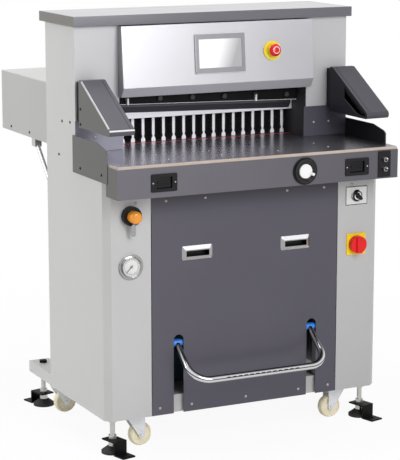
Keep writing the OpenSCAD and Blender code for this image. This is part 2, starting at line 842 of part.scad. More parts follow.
module estop_button() placed() color("red") on_face(estop_x, panel_mid_z) {
  head = estop_neck + estop_travel + 1;
  along_y(estop_shaft_d, -head - 1, 14);
  rotate([90, 0, 0]) rotate_extrude() polygon([[0, head], [estop_d / 2 - 6, head], [estop_d / 2, head + 4],
    [estop_d / 2, head + 9], [estop_d / 2 - 5, head + 14], [0, head + 16]]);
}

// Fittings on the apron
module apron_plates() placed() color("black") difference() {
  union() {
    both_sides() translate([cut_button_x, 0, apron_fit_z]) {
      upright(cut_plate_w, cut_plate_h, 4, apron_y - cut_plate_t, apron_y);
      upright(cut_cup_w, cut_cup_h, 3, apron_y - 1, apron_y + cut_cup_len);
    }
    translate([toggle_x, 0, toggle_mid])
      upright(toggle_plate_w, toggle_plate_h, 3, apron_y - toggle_plate_t, apron_y);
    for (z = toggle_heights) translate([toggle_x, 0, z])
      along_y(toggle_nut_d, apron_y - toggle_plate_t - toggle_nut_len, apron_y - 1);
    translate([wheel_x, 0, apron_fit_z]) {
      along_y(wheel_bezel_d, apron_y - wheel_bezel_t, apron_y);
      along_y(wheel_shaft_d + 8, apron_y - 1, apron_y + 16);
    }
  }
  both_sides() translate([cut_button_x, 0, apron_fit_z])
    upright(cut_button_w + 2 * gap, cut_button_h + 2 * gap, 2, apron_y - cut_plate_t - 1,
      apron_y + cut_cup_len - 2);
  for (z = toggle_heights) translate([toggle_x, toggle_y, z]) {
    along_y(toggle_ball_d + 2 * gap, -toggle_nut_len / 2 - 1, toggle_nut_len);
    along_x(toggle_pin_d + 2 * run, -toggle_nut_d, toggle_nut_d);
  }
  translate([wheel_x, 0, apron_fit_z]) {
    along_y(wheel_shaft_d + 2 * run, apron_y - wheel_bezel_t - 1, apron_y + 17);
    along_y(wheel_d + 2, apron_y - wheel_bezel_t - 1, apron_y - wheel_bezel_t + wheel_seat);
  }
  front_rows(cut_screws, apron_y - cut_plate_t) scale(small_screw) screw_hole();
}

module cut_button(side) placed() color("black") translate([side * cut_button_x, 0, apron_fit_z])
  upright(cut_button_w, cut_button_h, 2, apron_y + cut_sink, apron_y + cut_cup_len - 2 - cut_travel - gap);

module cut_button_left() cut_button(-1);

module cut_button_right() cut_button(1);

// A toggle's lever turns on a cross pin inside the nut, tipped up at rest
module toggle(z) placed() color("silver")
  translate([toggle_x, toggle_y, z]) rotate([-toggle_tilt, 0, 0]) {
    sphere(d = toggle_ball_d);
    along_x(toggle_pin_d, 0.8 - toggle_nut_d / 2, toggle_nut_d / 2 - 0.8);
    along_y(5, -toggle_len, 0);
    translate([0, -toggle_len, 0]) sphere(d = 6.5);
  }

module toggle_upper() toggle(toggle_heights[0]);

module toggle_lower() toggle(toggle_heights[1]);

// The handwheel: a shallow dish round a dial that carries a finger knob
module handwheel() placed() color("white") translate([wheel_x, apron_y - wheel_bezel_t, apron_fit_z]) {
  rim_r = wheel_d / 2;
  floor_y = 1;
  along_y(wheel_shaft_d, -floor_y, wheel_bezel_t + 14);
  rotate([90, 0, 0]) rotate_extrude() polygon([[0, gap - wheel_seat], [rim_r, gap - wheel_seat],
    [rim_r, wheel_face - 2], [rim_r - 2, wheel_face], [rim_r - 5, wheel_face], [rim_r - 11, floor_y],
    [dial_r, floor_y], [dial_r, wheel_face - 1], [dial_r - 1, wheel_face], [0, wheel_face]]);
  rotate([0, wheel_knob_turn, 0]) translate([dial_r - 2, 0, 0])
    along_y(9, wheel_bezel_t - wheel_reach, -floor_y / 2);
}

// Fittings on the lower casings
module switch_plates() placed() color("gold") {
  translate([fit_x, 0, fit_upper_z]) difference() {
    upright(selector_w, selector_h, 3, -selector_t, 0);
    along_y(knob_shaft_d + 2 * run, -selector_t - 1, 1);
  }
  translate([fit_x, 0, fit_lower_z]) difference() {
    upright(switch_side, switch_side, 4, -switch_t, 0);
    along_y(knob_shaft_d + 2 * run, -switch_t - 1, 1);
  }
}

// A knob with a grip bar, turned by an angle, standing off its plate
module bar_knob(d, y, disc, grip, turn) rotate([0, turn, 0]) {
  along_y(knob_shaft_d, y - 2, casing_t + 8);
  along_y(d, y - disc, y);
  upright(d / 3, d - 2, 3, y - disc - grip, y - 1);
}

module selector_knob() placed() color("black") translate([fit_x, 0, fit_upper_z])
  bar_knob(30, -selector_t - gap, 8, 12, -40);

module main_switch_knob() placed() color("red") translate([fit_x, 0, fit_lower_z])
  bar_knob(switch_knob_d, -switch_t - gap, 19, 6, 0);

module pressure_valve() placed() color("black") translate([-fit_x, 0, fit_upper_z]) {
  difference() {
    along_y(valve_d, -valve_len, 0);
    along_y(knob_shaft_d + 2 * run, -valve_len - 1, 1);
    translate([0, 0, -valve_d / 2 + 5]) along_y(5, -valve_len - 1, -valve_len + 8);
  }
  translate([0, 0, -valve_d / 2 + 5]) along_y(5 - 2 * run, -valve_len - 4, -valve_len + 8);
  translate([0, 0, -valve_d / 2 - 12]) upright(15, 38, 7, -valve_len - 5.5, -valve_len - 4);
}

module pressure_knob() placed() color("orange") translate([-fit_x, -valve_len, fit_upper_z]) {
  along_y(knob_shaft_d, -4, valve_len + 6);
  rotate([90, 0, 0]) translate([0, 0, gap]) rotate_extrude() polygon([[0, 0], [valve_knob_r - 1, 0],
    [valve_knob_r, 1], [valve_knob_r, valve_knob_len - 9], [valve_knob_r - 1.5, valve_knob_len - 5],
    [valve_knob_r - 5, valve_knob_len - 1.5], [valve_knob_r - 9, valve_knob_len], [0, valve_knob_len]]);
}

module gauge_case() placed() color("silver") translate([-fit_x, 0, fit_lower_z]) {
  difference() {
    union() {
      along_y(gauge_flange_d, -gauge_flange_t, 0);
      along_y(gauge_d, -gauge_len, -1);
      along_y(14, -1, 24);
    }
    along_y(gauge_d - 2 * gauge_rim, -gauge_len - 1, -gauge_len + gauge_sink);
    along_y(gauge_d - gauge_rim, -gauge_len - 1, -gauge_len + glass_sink);
  }
  along_y(needle_post_d, -gauge_len + glass_sink + 1, -gauge_len + gauge_sink + 1);
}

// The needle points to the lower left at rest
module gauge_needle() placed() color("black") translate([-fit_x, 0, fit_lower_z]) rotate([0, -135, 0])
  difference() {
  union() {
    along_y(7, needle_y, needle_y + 1.5);
    block([-1, needle_y, -7], [1, needle_y + 1, gauge_d / 2 - gauge_rim - 5]);
  }
  along_y(needle_post_d + 2 * run, needle_y - 1, needle_y + 3);
}

module gauge_glass() placed() color("white") translate([-fit_x, 0, fit_lower_z])
  along_y(gauge_d - gauge_rim - 2 * seat, -gauge_len + 1, -gauge_len + glass_sink);

// Pedal: a bent tube on a cross shaft
module pedal_frame() translate([0, pedal_y, pedal_z]) rotate([pedal_slope, 0, 0]) children();

module foot_pedal() placed() color("silver") pedal_frame() {
  straight = pedal_len - pedal_bend;
  along_x(pedal_shaft_d, -lug_x - lug_t - 8, lug_x + lug_t + 8);
  translate([0, -pedal_len, 0]) along_x(pedal_d, -slot_x + pedal_bend, slot_x - pedal_bend);
  both_sides() {
    translate([slot_x, 0, 0]) along_y(pedal_d, -straight, 0);
    translate([slot_x - pedal_bend, -straight, 0]) rotate([0, 0, -90])
      rotate_extrude(angle = 90) translate([pedal_bend, 0]) circle(d = pedal_d);
  }
}

module pedal_sleeves() placed() color("blue") pedal_frame() both_sides() translate([slot_x, 0, 0])
  difference() {
  along_x(sleeve_d, -sleeve_len / 2, sleeve_len / 2);
  along_x(pedal_shaft_d + 2 * run, -sleeve_len / 2 - 1, sleeve_len / 2 + 1);
  along_y(pedal_d + 2 * run, -sleeve_d, 0);
}

// Knife: a guide block on the left cheek carries the carrier on a pin, and the carrier tilts on it
module tilted() translate([pivot_x, 0, pivot_z]) rotate([0, knife_tilt, 0])
  translate([-pivot_x, 0, -pivot_z]) children();

module knife_guide() placed() color("gray") {
  block([-cheek_in + gap, guide_y, pivot_z - guide_h / 2],
    [-cheek_in + gap + guide_w, guide_y + guide_t, pivot_z + guide_h / 2]);
  translate([pivot_x, 0, pivot_z]) along_y(pivot_d, guide_y + guide_t - 1, carrier_back - 1);
  translate([pivot_x, guide_y + guide_t / 2, 0]) along_z(rod_d, pivot_z + guide_h / 2 - 1, rod_top);
}

module knife_beam() placed() color("dimgray") tilted() difference() {
  union() {
    block([-knife_half, carrier_front, carrier_u], [knife_half, carrier_back, carrier_u + carrier_h]);
    for (i = [-2.5:2.5]) translate([i * carrier_bolt_pitch, 0, carrier_u + 20])
      along_y(16, carrier_front - 8, carrier_front + 1);
  }
  translate([pivot_x, 0, pivot_z]) along_y(pivot_d + 2 * run, carrier_front - 1, carrier_back + 1);
}

module knife() placed() color("silver") tilted() profile(-knife_half + 4, knife_half - 4) polygon([
  [cut_y, knife_edge], [cut_y, knife_edge + knife_h], [carrier_back, knife_edge + knife_h],
  [carrier_back, knife_edge + bevel_h]]);

// A finger's front: a bar with a narrow neck above a wider foot
module finger_front() polygon(concat(finger_side, [for (i = [len(finger_side) - 1:-1:0])
  [-finger_side[i][0], finger_side[i][1]]]));

// Clamp: a beam whose back is slotted for the gauge fingers
module clamp_beam() placed() color("lightgray") {
  difference() {
    block([-cheek_in + 1, clamp_y, clamp_u], [cheek_in - 1, clamp_back, clamp_u + clamp_h]);
    for (x = finger_places) block([x - finger_slot / 2, clamp_y + clamp_wall, clamp_u - 1],
      [x + finger_slot / 2, clamp_back + 1, clamp_u + clamp_h + 1]);
  }
  for (x = [-clamp_rod_x, clamp_rod_x]) translate([x, clamp_rod_y, 0])
    along_z(rod_d, clamp_u + clamp_h, rod_top);
}

module back_gauge() placed() color("gainsboro") difference() {
  union() {
    block([-gauge_half, gauge_y, gauge_u], [gauge_half, gauge_y + gauge_bar_t, gauge_u + gauge_h]);
    for (x = finger_places) translate([x, gauge_y + 1, gauge_u]) rotate([90, 0, 0])
      linear_extrude(gauge_y + 1 - finger_y) finger_front();
    block([-tongue_w / 2, gauge_y + 2, screw_z], [tongue_w / 2, gauge_y + 24, gauge_u + 1]);
    block([-nut_w / 2, gauge_y, screw_z - nut_h / 2], [nut_w / 2, gauge_y + nut_len, screw_z + nut_h / 2]);
  }
  translate([0, 0, screw_z]) along_y(screw_d + 2 * run, gauge_y - 1, gauge_y + nut_len + 1);
}

module lead_screw() placed() color("silver") translate([0, 0, screw_z]) {
  along_y(screw_d, bearing_y - hub_len, bearing_rear_y + bearing_t + 6);
  along_y(screw_d + 12, bearing_y - gap - hub_len, bearing_y - gap);
}

module bearing(y, z_top) difference() {
  block([-nut_w / 2, y, screw_z - nut_h / 2], [nut_w / 2, y + bearing_t, z_top]);
  translate([0, 0, screw_z]) along_y(screw_d + 2 * run, y - 1, y + bearing_t + 1);
}

module gauge_drive() placed() color("black") {
  bearing(bearing_y, table_u);
  bearing(bearing_rear_y, rear_table_u);
  block([-motor_side / 2, motor_y, screw_z - motor_side / 2],
    [motor_side / 2, motor_y + motor_len, screw_z + motor_side / 2]);
  block([-motor_side / 2, motor_y, screw_z + motor_side / 2], [motor_side / 2, motor_y + 60, table_u]);
}

// Rear table, its guard and lid
module rear_table() placed() color("gray") difference() {
  block([-rear_half + guard_t + seat, rear_front, rear_table_u],
    [rear_half - guard_t - seat, rear_wall - guard_t - seat, table_z]);
  block([-tongue_slot / 2, rear_front - 1, rear_table_u - 1],
    [tongue_slot / 2, bearing_rear_y - 4, table_z + 1]);
}

module rear_guard() placed() color("silver") difference() {
  union() {
    difference() {
      block([-rear_half, guard_front, guard_u], [rear_half, rear_wall, guard_top]);
      block([-rear_half + guard_t, guard_front - 1, guard_u - 1],
        [rear_half - guard_t, rear_wall - guard_t, guard_top + 1]);
    }
    block([-rear_half + 1, guard_front, guard_top - hinge_rail],
      [rear_half - 1, guard_front + hinge_rail, guard_top]);
    for (x = hinge_places) translate([x, 0, 0]) {
      block([-18, hinge_y - 4, guard_top - 1], [18, hinge_y + 4, hinge_z]);
      translate([0, hinge_y, hinge_z]) along_x(8, -18, 18);
      translate([0, hinge_y, hinge_z]) along_x(hinge_d, -40, 40);
    }
  }
  side_rows(rear_screws, rear_half) screw_hole();
}

module rear_lid() placed() color("silver") {
  skin = guard_top + gap;
  difference() {
    union() {
      block([-rear_half, hinge_y + 8, skin], [rear_half, rear_wall, skin + guard_t]);
      for (x = hinge_places, s = [-1, 1]) translate([x + s * 29, 0, 0]) {
        translate([0, hinge_y, hinge_z]) along_x(11, -9, 9);
        block([-9, hinge_y, skin], [9, hinge_y + 10, skin + guard_t]);
      }
    }
    for (x = hinge_places) translate([x, hinge_y, hinge_z]) along_x(hinge_d + 2 * run, -50, 50);
  }
}

module rear_struts() placed() color("silver") both_sides() {
  run_yz = strut_high - strut_low;
  block([strut_x - 12, casing_depth, strut_low[1] - 22],
    [strut_x + 12, strut_low[0] + 4, strut_low[1] + 10]);
  translate([strut_x, strut_low[0], strut_low[1]]) rotate([-atan2(run_yz[0], run_yz[1]), 0, 0])
    cylinder(d = strut_d, h = norm(run_yz));
  block([strut_x - 12, strut_high[0] - 16, strut_high[1] - 14],
    [strut_x + 12, strut_high[0] + 16, rear_table_u]);
}

// Hydraulics
module hydraulic_unit() placed() color("steelblue") {
  block([-tank_w / 2 - tank_shift, tank_front, beam_top], [tank_w / 2 - tank_shift, beam_rear, tank_top]);
  translate([-tank_w * 0.3, (tank_front + beam_rear) / 2, 0]) along_z(pump_d, tank_top, tank_top + pump_h);
  block([tank_w * 0.05, tank_front + manifold_in, tank_top],
    [tank_w * 0.31, beam_rear - manifold_in, tank_top + manifold_h]);
}

module hydraulic_cylinders() placed() color("dimgray") for (p = cylinder_places)
  translate([p[0], p[1], 0]) difference() {
  union() {
    along_z(barrel_d, barrel_u, barrel_top);
    along_z(flange_d, top_plate_z + top_plate_t, top_plate_z + top_plate_t + 10);
  }
  along_z(rod_d + 2 * run, barrel_u - 1, rod_top + 4);
}

// Feet and anchors
module levelling_feet() placed() color("black") at_feet() {
  rotate_extrude() polygon([[0, 0], [pad_r, 0], [pad_r, 8], [16, 22], [13, 22], [13, foot_shoulder_z],
    [0, foot_shoulder_z]]);
  along_z(foot_rod_d, foot_shoulder_z - 1, base_z + rail_h + foot_lock_h + 1);
  nut(foot_rod_d * 1.7, foot_shoulder_z + anchor_t, foot_nut_h);
  nut(foot_rod_d * 1.7, base_z - foot_nut_h, foot_nut_h);
  nut(foot_rod_d * 1.7, base_z + rail_h, foot_lock_h);
}

module anchor_brackets() placed() color("black") at_feet() difference() {
  union() {
    block([-anchor_w / 2, -anchor_y - 1, foot_shoulder_z],
      [anchor_w / 2, anchor_w / 2, foot_shoulder_z + anchor_t]);
    block([-anchor_w / 2, -anchor_y - anchor_t, 0], [anchor_w / 2, -anchor_y, foot_shoulder_z + anchor_t]);
    block([-anchor_w / 2, -anchor_y - anchor_t - anchor_len, 0], [anchor_w / 2, -anchor_y - 1, anchor_t]);
  }
  along_z(foot_rod_d + 1, foot_shoulder_z - 1, foot_shoulder_z + anchor_t + 1);
  translate([0, -anchor_hole_y, 0]) along_z(anchor_hole_d, -1, anchor_t + 1);
}

// Casters: the wheels trail towards the middle of the machine
module caster_fork(x, y) placed() color("silver") translate([x, y, 0]) mirror([x > 0 ? 1 : 0, 0, 0]) {
  crown_top = base_z - caster_plate_t - gap;
  crown_u = crown_top - 10;
  along_z(44, crown_u, crown_top);
  along_z(kingpin_d, crown_u, base_z + 20);
  block([-20, -fork_half - fork_t, crown_u - 3], [fork_end, fork_half + fork_t, crown_u + 1]);
  for (s = [-1, 1]) translate([0, s * (fork_half + fork_t / 2) + fork_t / 2, 0]) rotate([90, 0, 0])
    linear_extrude(fork_t) {
    polygon([[-20, crown_u - 2], [fork_end, crown_u - 2], [fork_end, caster_z],
      [caster_trail - fork_r, caster_z]]);
    translate([caster_trail, caster_z]) circle(fork_r);
  }
  translate([caster_trail, 0, caster_z]) along_y(axle_d, -fork_half - fork_t - 4, fork_half + fork_t + 4);
}

module caster_wheel(x, y) placed() color("blanchedalmond")
  translate([x + (x > 0 ? -caster_trail : caster_trail), y, caster_z]) rotate([90, 0, 0])
    rotate_extrude() polygon([
    [axle_d / 2 + run, -caster_w / 2 - 2], [12, -caster_w / 2 - 2], [14, -caster_w / 2 + 3],
    [caster_d / 2 - 9, -caster_w / 2 + 3], [caster_d / 2 - 7, -caster_w / 2],
      [caster_d / 2 - 3, -caster_w / 2 + 2],
    [caster_d / 2, -5], [caster_d / 2, 5], [caster_d / 2 - 3, caster_w / 2 - 2],
      [caster_d / 2 - 7, caster_w / 2],
    [caster_d / 2 - 9, caster_w / 2 - 3], [14, caster_w / 2 - 3], [12, caster_w / 2 + 2],
    [axle_d / 2 + run, caster_w / 2 + 2]]);

module caster_fork_fl() caster_fork(-caster_front_x, caster_front_y);

module caster_fork_fr() caster_fork(caster_front_x, caster_front_y);

module caster_fork_rl() caster_fork(-caster_rear_x, caster_rear_y);

module caster_fork_rr() caster_fork(caster_rear_x, caster_rear_y);

module caster_wheel_fl() caster_wheel(-caster_front_x, caster_front_y);

module caster_wheel_fr() caster_wheel(caster_front_x, caster_front_y);

module caster_wheel_rl() caster_wheel(-caster_rear_x, caster_rear_y);

module caster_wheel_rr() caster_wheel(caster_rear_x, caster_rear_y);

module casing_screws() placed() color("silver") {
  front_rows(panel_screws, 0) screw(casing_t);
  front_rows(lower_screws, 0) screw(casing_t);
  front_rows(plate_screws, front_plate_y) screw(plate_t);
  front_rows(cut_screws, apron_y - cut_plate_t) scale(small_screw) screw(cut_plate_t / small_screw);
  side_rows(column_screws, half) screw(casing_t);
  side_rows(guard_screws, plate_out) screw(plate_t);
  side_rows(arm_screws, arm_out) screw(arm_t);
  side_rows(rear_screws, rear_half) screw(guard_t);
}

base_frame();
portal_frame();
lower_casings();
rear_panels();
column_casings();
top_cover();
front_panel();
panel_handles();
work_table();
front_apron();
cutting_stick();
side_guards();
guard_arms();
light_curtains();
control_panel();
screen_bezel();
screen_glass();
estop_collar();
estop_button();
apron_plates();
cut_button_left();
cut_button_right();
toggle_upper();
toggle_lower();
handwheel();
switch_plates();
selector_knob();
main_switch_knob();
pressure_valve();
pressure_knob();
gauge_case();
gauge_needle();
gauge_glass();
foot_pedal();
pedal_sleeves();
knife_guide();
knife_beam();
knife();
clamp_beam();
back_gauge();
lead_screw();
gauge_drive();
rear_table();
rear_guard();
rear_lid();
rear_struts();
hydraulic_unit();
hydraulic_cylinders();
levelling_feet();
anchor_brackets();
caster_fork_fl();
caster_fork_fr();
caster_fork_rl();
caster_fork_rr();
caster_wheel_fl();
caster_wheel_fr();
caster_wheel_rl();
caster_wheel_rr();
casing_screws();
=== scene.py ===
"""Dresses the floor-standing paper cutter: rounded sheets, finishes, dials, knobs, screws and a studio."""
import json
import math
import bmesh
import bpy
from bpy.props import FloatProperty, FloatVectorProperty, IntProperty, PointerProperty
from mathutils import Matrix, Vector

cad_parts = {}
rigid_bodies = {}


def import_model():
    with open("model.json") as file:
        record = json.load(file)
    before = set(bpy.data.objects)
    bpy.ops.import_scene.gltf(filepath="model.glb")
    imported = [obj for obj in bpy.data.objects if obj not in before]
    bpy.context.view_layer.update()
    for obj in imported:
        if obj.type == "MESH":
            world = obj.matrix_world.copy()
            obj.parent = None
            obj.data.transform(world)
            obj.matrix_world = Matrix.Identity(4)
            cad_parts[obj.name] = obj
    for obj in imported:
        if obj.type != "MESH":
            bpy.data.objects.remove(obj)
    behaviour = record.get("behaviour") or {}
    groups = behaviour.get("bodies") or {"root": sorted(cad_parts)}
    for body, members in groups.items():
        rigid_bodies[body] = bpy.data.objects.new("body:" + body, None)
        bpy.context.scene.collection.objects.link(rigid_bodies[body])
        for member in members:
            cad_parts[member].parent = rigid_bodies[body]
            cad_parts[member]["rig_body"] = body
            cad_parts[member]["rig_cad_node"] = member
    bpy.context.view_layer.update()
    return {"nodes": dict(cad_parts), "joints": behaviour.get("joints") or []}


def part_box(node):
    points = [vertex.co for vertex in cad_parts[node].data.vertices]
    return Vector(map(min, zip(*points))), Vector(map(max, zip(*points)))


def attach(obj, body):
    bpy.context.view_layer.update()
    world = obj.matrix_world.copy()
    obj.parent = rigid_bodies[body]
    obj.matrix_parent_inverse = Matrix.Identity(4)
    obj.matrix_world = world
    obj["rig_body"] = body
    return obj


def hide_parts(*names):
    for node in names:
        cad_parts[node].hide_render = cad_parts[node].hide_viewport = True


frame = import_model()
NODES = frame["nodes"]
FRONT_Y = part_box("front_panel")[0].y
ORIGIN = (0, 0, 0)
UPWARD = (0, 0, 1)
FORWARD = (0, -1, 0)
# A face looks straight, slanted or a little to a side from these shares of its normal on.
STRAIGHT = 0.9
SLANTED = 0.3
FORWARD_LEAN = 0.1
# Points that differ by less than this lie in one plane.
IN_LINE = 0.0005

bl_info = {
    "name": "Paper Cutter Dresser",
    "version": (1, 0, 0),
    "blender": (4, 5, 0),
    "location": "View3D > Sidebar > Paper Cutter",
    "description": "Finishes and fittings for a floor-standing paper cutter",
    "category": "Object",
}


def tone(code):
    """Turns a six-digit screen colour into the linear colour that a shader takes."""
    parts = [int(code[i:i + 2], 16) / 255 for i in (0, 2, 4)]
    return tuple(p / 12.92 if p <= 0.04045 else ((p + 0.055) / 1.055) ** 2.4 for p in parts)


def colour(name, text, code):
    """A colour that the user may change."""
    return FloatVectorProperty(name=name, description=text, subtype="COLOR", size=3, min=0.0, max=1.0,
                               default=tone(code))


def length(name, text, value):
    """A length that the user may change, in metres."""
    return FloatProperty(name=name, description=text, unit="LENGTH", min=0.0, default=value)


class CutterColours(bpy.types.PropertyGroup):
    """Colours of the finishes."""
    casing: colour("Casings", "Powder coat of the light casings", "C8C8C7")
    # Painted light: the columns' fronts are a lighter copy of the casing coat.
    column: colour("Column fronts", "Powder coat on the fronts of the columns", "D3D3D5")
    # Painted shade: the rear guard's walls are a darker copy of the casing coat.
    rear: colour("Rear guard", "Powder coat of the rear guard's walls", "B6B6B5")
    dark: colour("Dark sheet", "Powder coat of the apron and guards", "6B696F")
    # Painted shading: the dark sheet's left faces in a tint of their own.
    dark_side: colour("Dark sheet, left", "Left faces of the apron, guards and arms", "626261")
    arm: colour("Arms", "Powder coat of the light-curtain arms", "5A5860")
    # A painted highlight: the pale line along the left arm's slope and nose.
    arm_edge: colour("Arm edges", "Pale line along the left arm's slope and nose", "E9E9E7")
    # Painted shade on the inner faces of the guards and inside the arms.
    shade: colour("Shaded sheet", "Dull coat inside the guards and arms", "2E2D33")
    # Painted light: one front plate, painted lit on the left guard and shaded on the right.
    guard_light: colour("Left front plate", "Front plate of the left guard", "9898A3")
    guard_dark: colour("Right front plate", "Front plate of the right guard", "53525C")
    cover: colour("Top cover", "Powder coat of the top cover", "595861")
    # Painted shading: the top cover's left face in a tint of its own.
    cover_side: colour("Top cover, left", "Left face of the top cover", "767572")
    front: colour("Front panel", "Powder coat of the front panel", "585560")
    silver: colour("Control panel", "Silver coat of the control panel", "B0B0B3")
    panel_side: colour("Panel side", "Ends of the control panel", "A6A6AA")
    # Painted shading: the downward slope of the control panel in a tint of its own.
    chin: colour("Panel chin", "Slope under the control panel", "AFAEB3")
    bezel: colour("Screen bezel", "Frame round the screen", "9F9FA3")
    outline: colour("Screen outline", "Pale outline of the screen's frame", "DCDCE0")
    screen: colour("Screen", "Idle screen", "FDFDFF")
    table: colour("Table", "Polished plating of the tables", "86848C")
    table_edge: colour("Table edge", "Bare edges at the table's front and corners", "B5A79C")
    bright: colour("Bright steel", "Ground steel of clamp and gauge", "DADBDE")
    lit: colour("Lit steel", "Bright faces of clamp, fingers, pins and handle hoods", "FBFBFF")
    knife: colour("Knife", "Ground steel of the knife", "4A494F")
    chrome: colour("Chrome", "Chrome of pedal, handles and toggles", "E6E6E8")
    zinc: colour("Zinc", "Zinc plating of rods, struts and hubs", "BCBCB9")
    fork: colour("Caster forks", "Bright plating of the caster forks", "E6E7EA")
    brass: colour("Front screws", "Plating of the screws on the fronts", "A9A295")
    black: colour("Black plastic", "Buttons, knobs and collars", "0B0B0D")
    fitting: colour("Fitting plates", "Plates under the cut buttons", "15151A")
    black_steel: colour("Black steel", "Painted brackets and carrier", "070709")
    bolt: colour("Carrier bolts", "Heads of the bolts in the knife carrier", "3C3C40")
    rubber: colour("Rubber", "Foot pads", "151515")
    frame: colour("Frame paint", "Portal and guides behind the covers", "4C4D50")
    tank: colour("Tank paint", "Hydraulic tank", "56707C")
    red: colour("Red", "Stop button, main switch and cutting stick", "E4161F")
    yellow: colour("Yellow", "Main switch plate", "F8D81F")
    lemon: colour("Lemon", "Collar of the emergency stop", "F6E12C")
    orange: colour("Orange", "Pressure knob", "F59A1C")
    blue: colour("Blue", "Pedal sleeves", "2A80E4")
    white: colour("White", "Dials and the stop button's ring", "F4F4F2")
    cream: colour("Cream", "Caster wheels", "FBF0D2")
    plate: colour("Selector plate", "Pale plate under the selector", "D6D6D4")


class CutterSizes(bpy.types.PropertyGroup):
    """Sizes of the rounded edges and small fittings."""
    sheet_edge: length("Sheet edge", "Rounding of the folded sheets", 0.001)
    cover_edge: length("Cover edge", "Rounding of the top cover", 0.002)
    arm_edge: length("Arm edge", "Rounding of the light-curtain arms", 0.0014)
    knob_edge: length("Knob edge", "Rounding of knobs and buttons", 0.0014)
    finger_edge: length("Finger edge", "Rounding of the gauge fingers", 0.003)
    small_edge: length("Small edge", "Rounding of collars, handles and sleeves", 0.0008)
    fine_edge: length("Fine edge", "Rounding of plates, feet and casters", 0.0006)
    hair_edge: length("Hair edge", "Rounding of the knife and the pressure valve", 0.0005)
    # Width of the painted highlight strip along the left arm's slope.
    edge_strip: length("Edge strip", "Width of the pale line along the left arm's slope", 0.005)
    seam: length("Seam", "Distance of the arms' seam from their inner side", 0.012)
    screen_line: length("Screen outline", "Width of the pale line round the screen's frame", 0.0009)
    plate_line: length("Plate border", "Width of the line round the switch plates", 0.0018)
    ball: length("Air ball", "Radius of the balls in the table", 0.004)
    grip_pitch: length("Grip pitch", "Distance between the pedal's grip marks", 0.02)
    pedal_r: length("Pedal bar", "Radius of the pedal's bar", 0.009)
    pedal_more: length("Pedal thickness", "What is added to the bar's radius in front of the panel", 0.002)
    tick: length("Dial tick", "Length of the gauge's ticks", 0.0045)
    ticks: IntProperty(name="Ticks", description="Number of ticks on the gauge's dial", default=26,
                       min=6, max=60)


# Values that finishes share, then the finishes. Spread is how patchy the tint is, patch how small the
# patches are, grain the fine relief and edge the paler line along edges. Light fall gives the tint's
# levels at the machine's left and right sides, a painted fall of light and shade, and under the heights
# and the level of a painted shadow below the apron.
LIGHT_COAT = dict(rough=0.42, spread=0.02, grain=0.06, edge=0.25)
# Casing coats carry a painted fall of light, darker towards the machine's right.
CASING_COAT = dict(LIGHT_COAT, coat=0.1, light_fall=(0.99, 0.83))
DARK_COAT = dict(rough=0.44, spread=0.03, grain=0.08, edge=0.3, spec=0.25)
SMOOTH_COAT = dict(spread=0.03, grain=0.05, edge=0.3)
HIDDEN_COAT = dict(grain=0.12, edge=0.2)
PLATE_COAT = dict(spread=0.04, grain=0.06)
PLATED = dict(rough=0.34, patch=60.0, grain=0.04)
GROUND = dict(stretch=(4, 60, 60))
CHROMED = dict(tint="chrome", rough=0.07, spread=0.02, metal=1.0, patch=20.0)
MOULDED = dict(patch=30.0)
CAST = dict(patch=40.0)

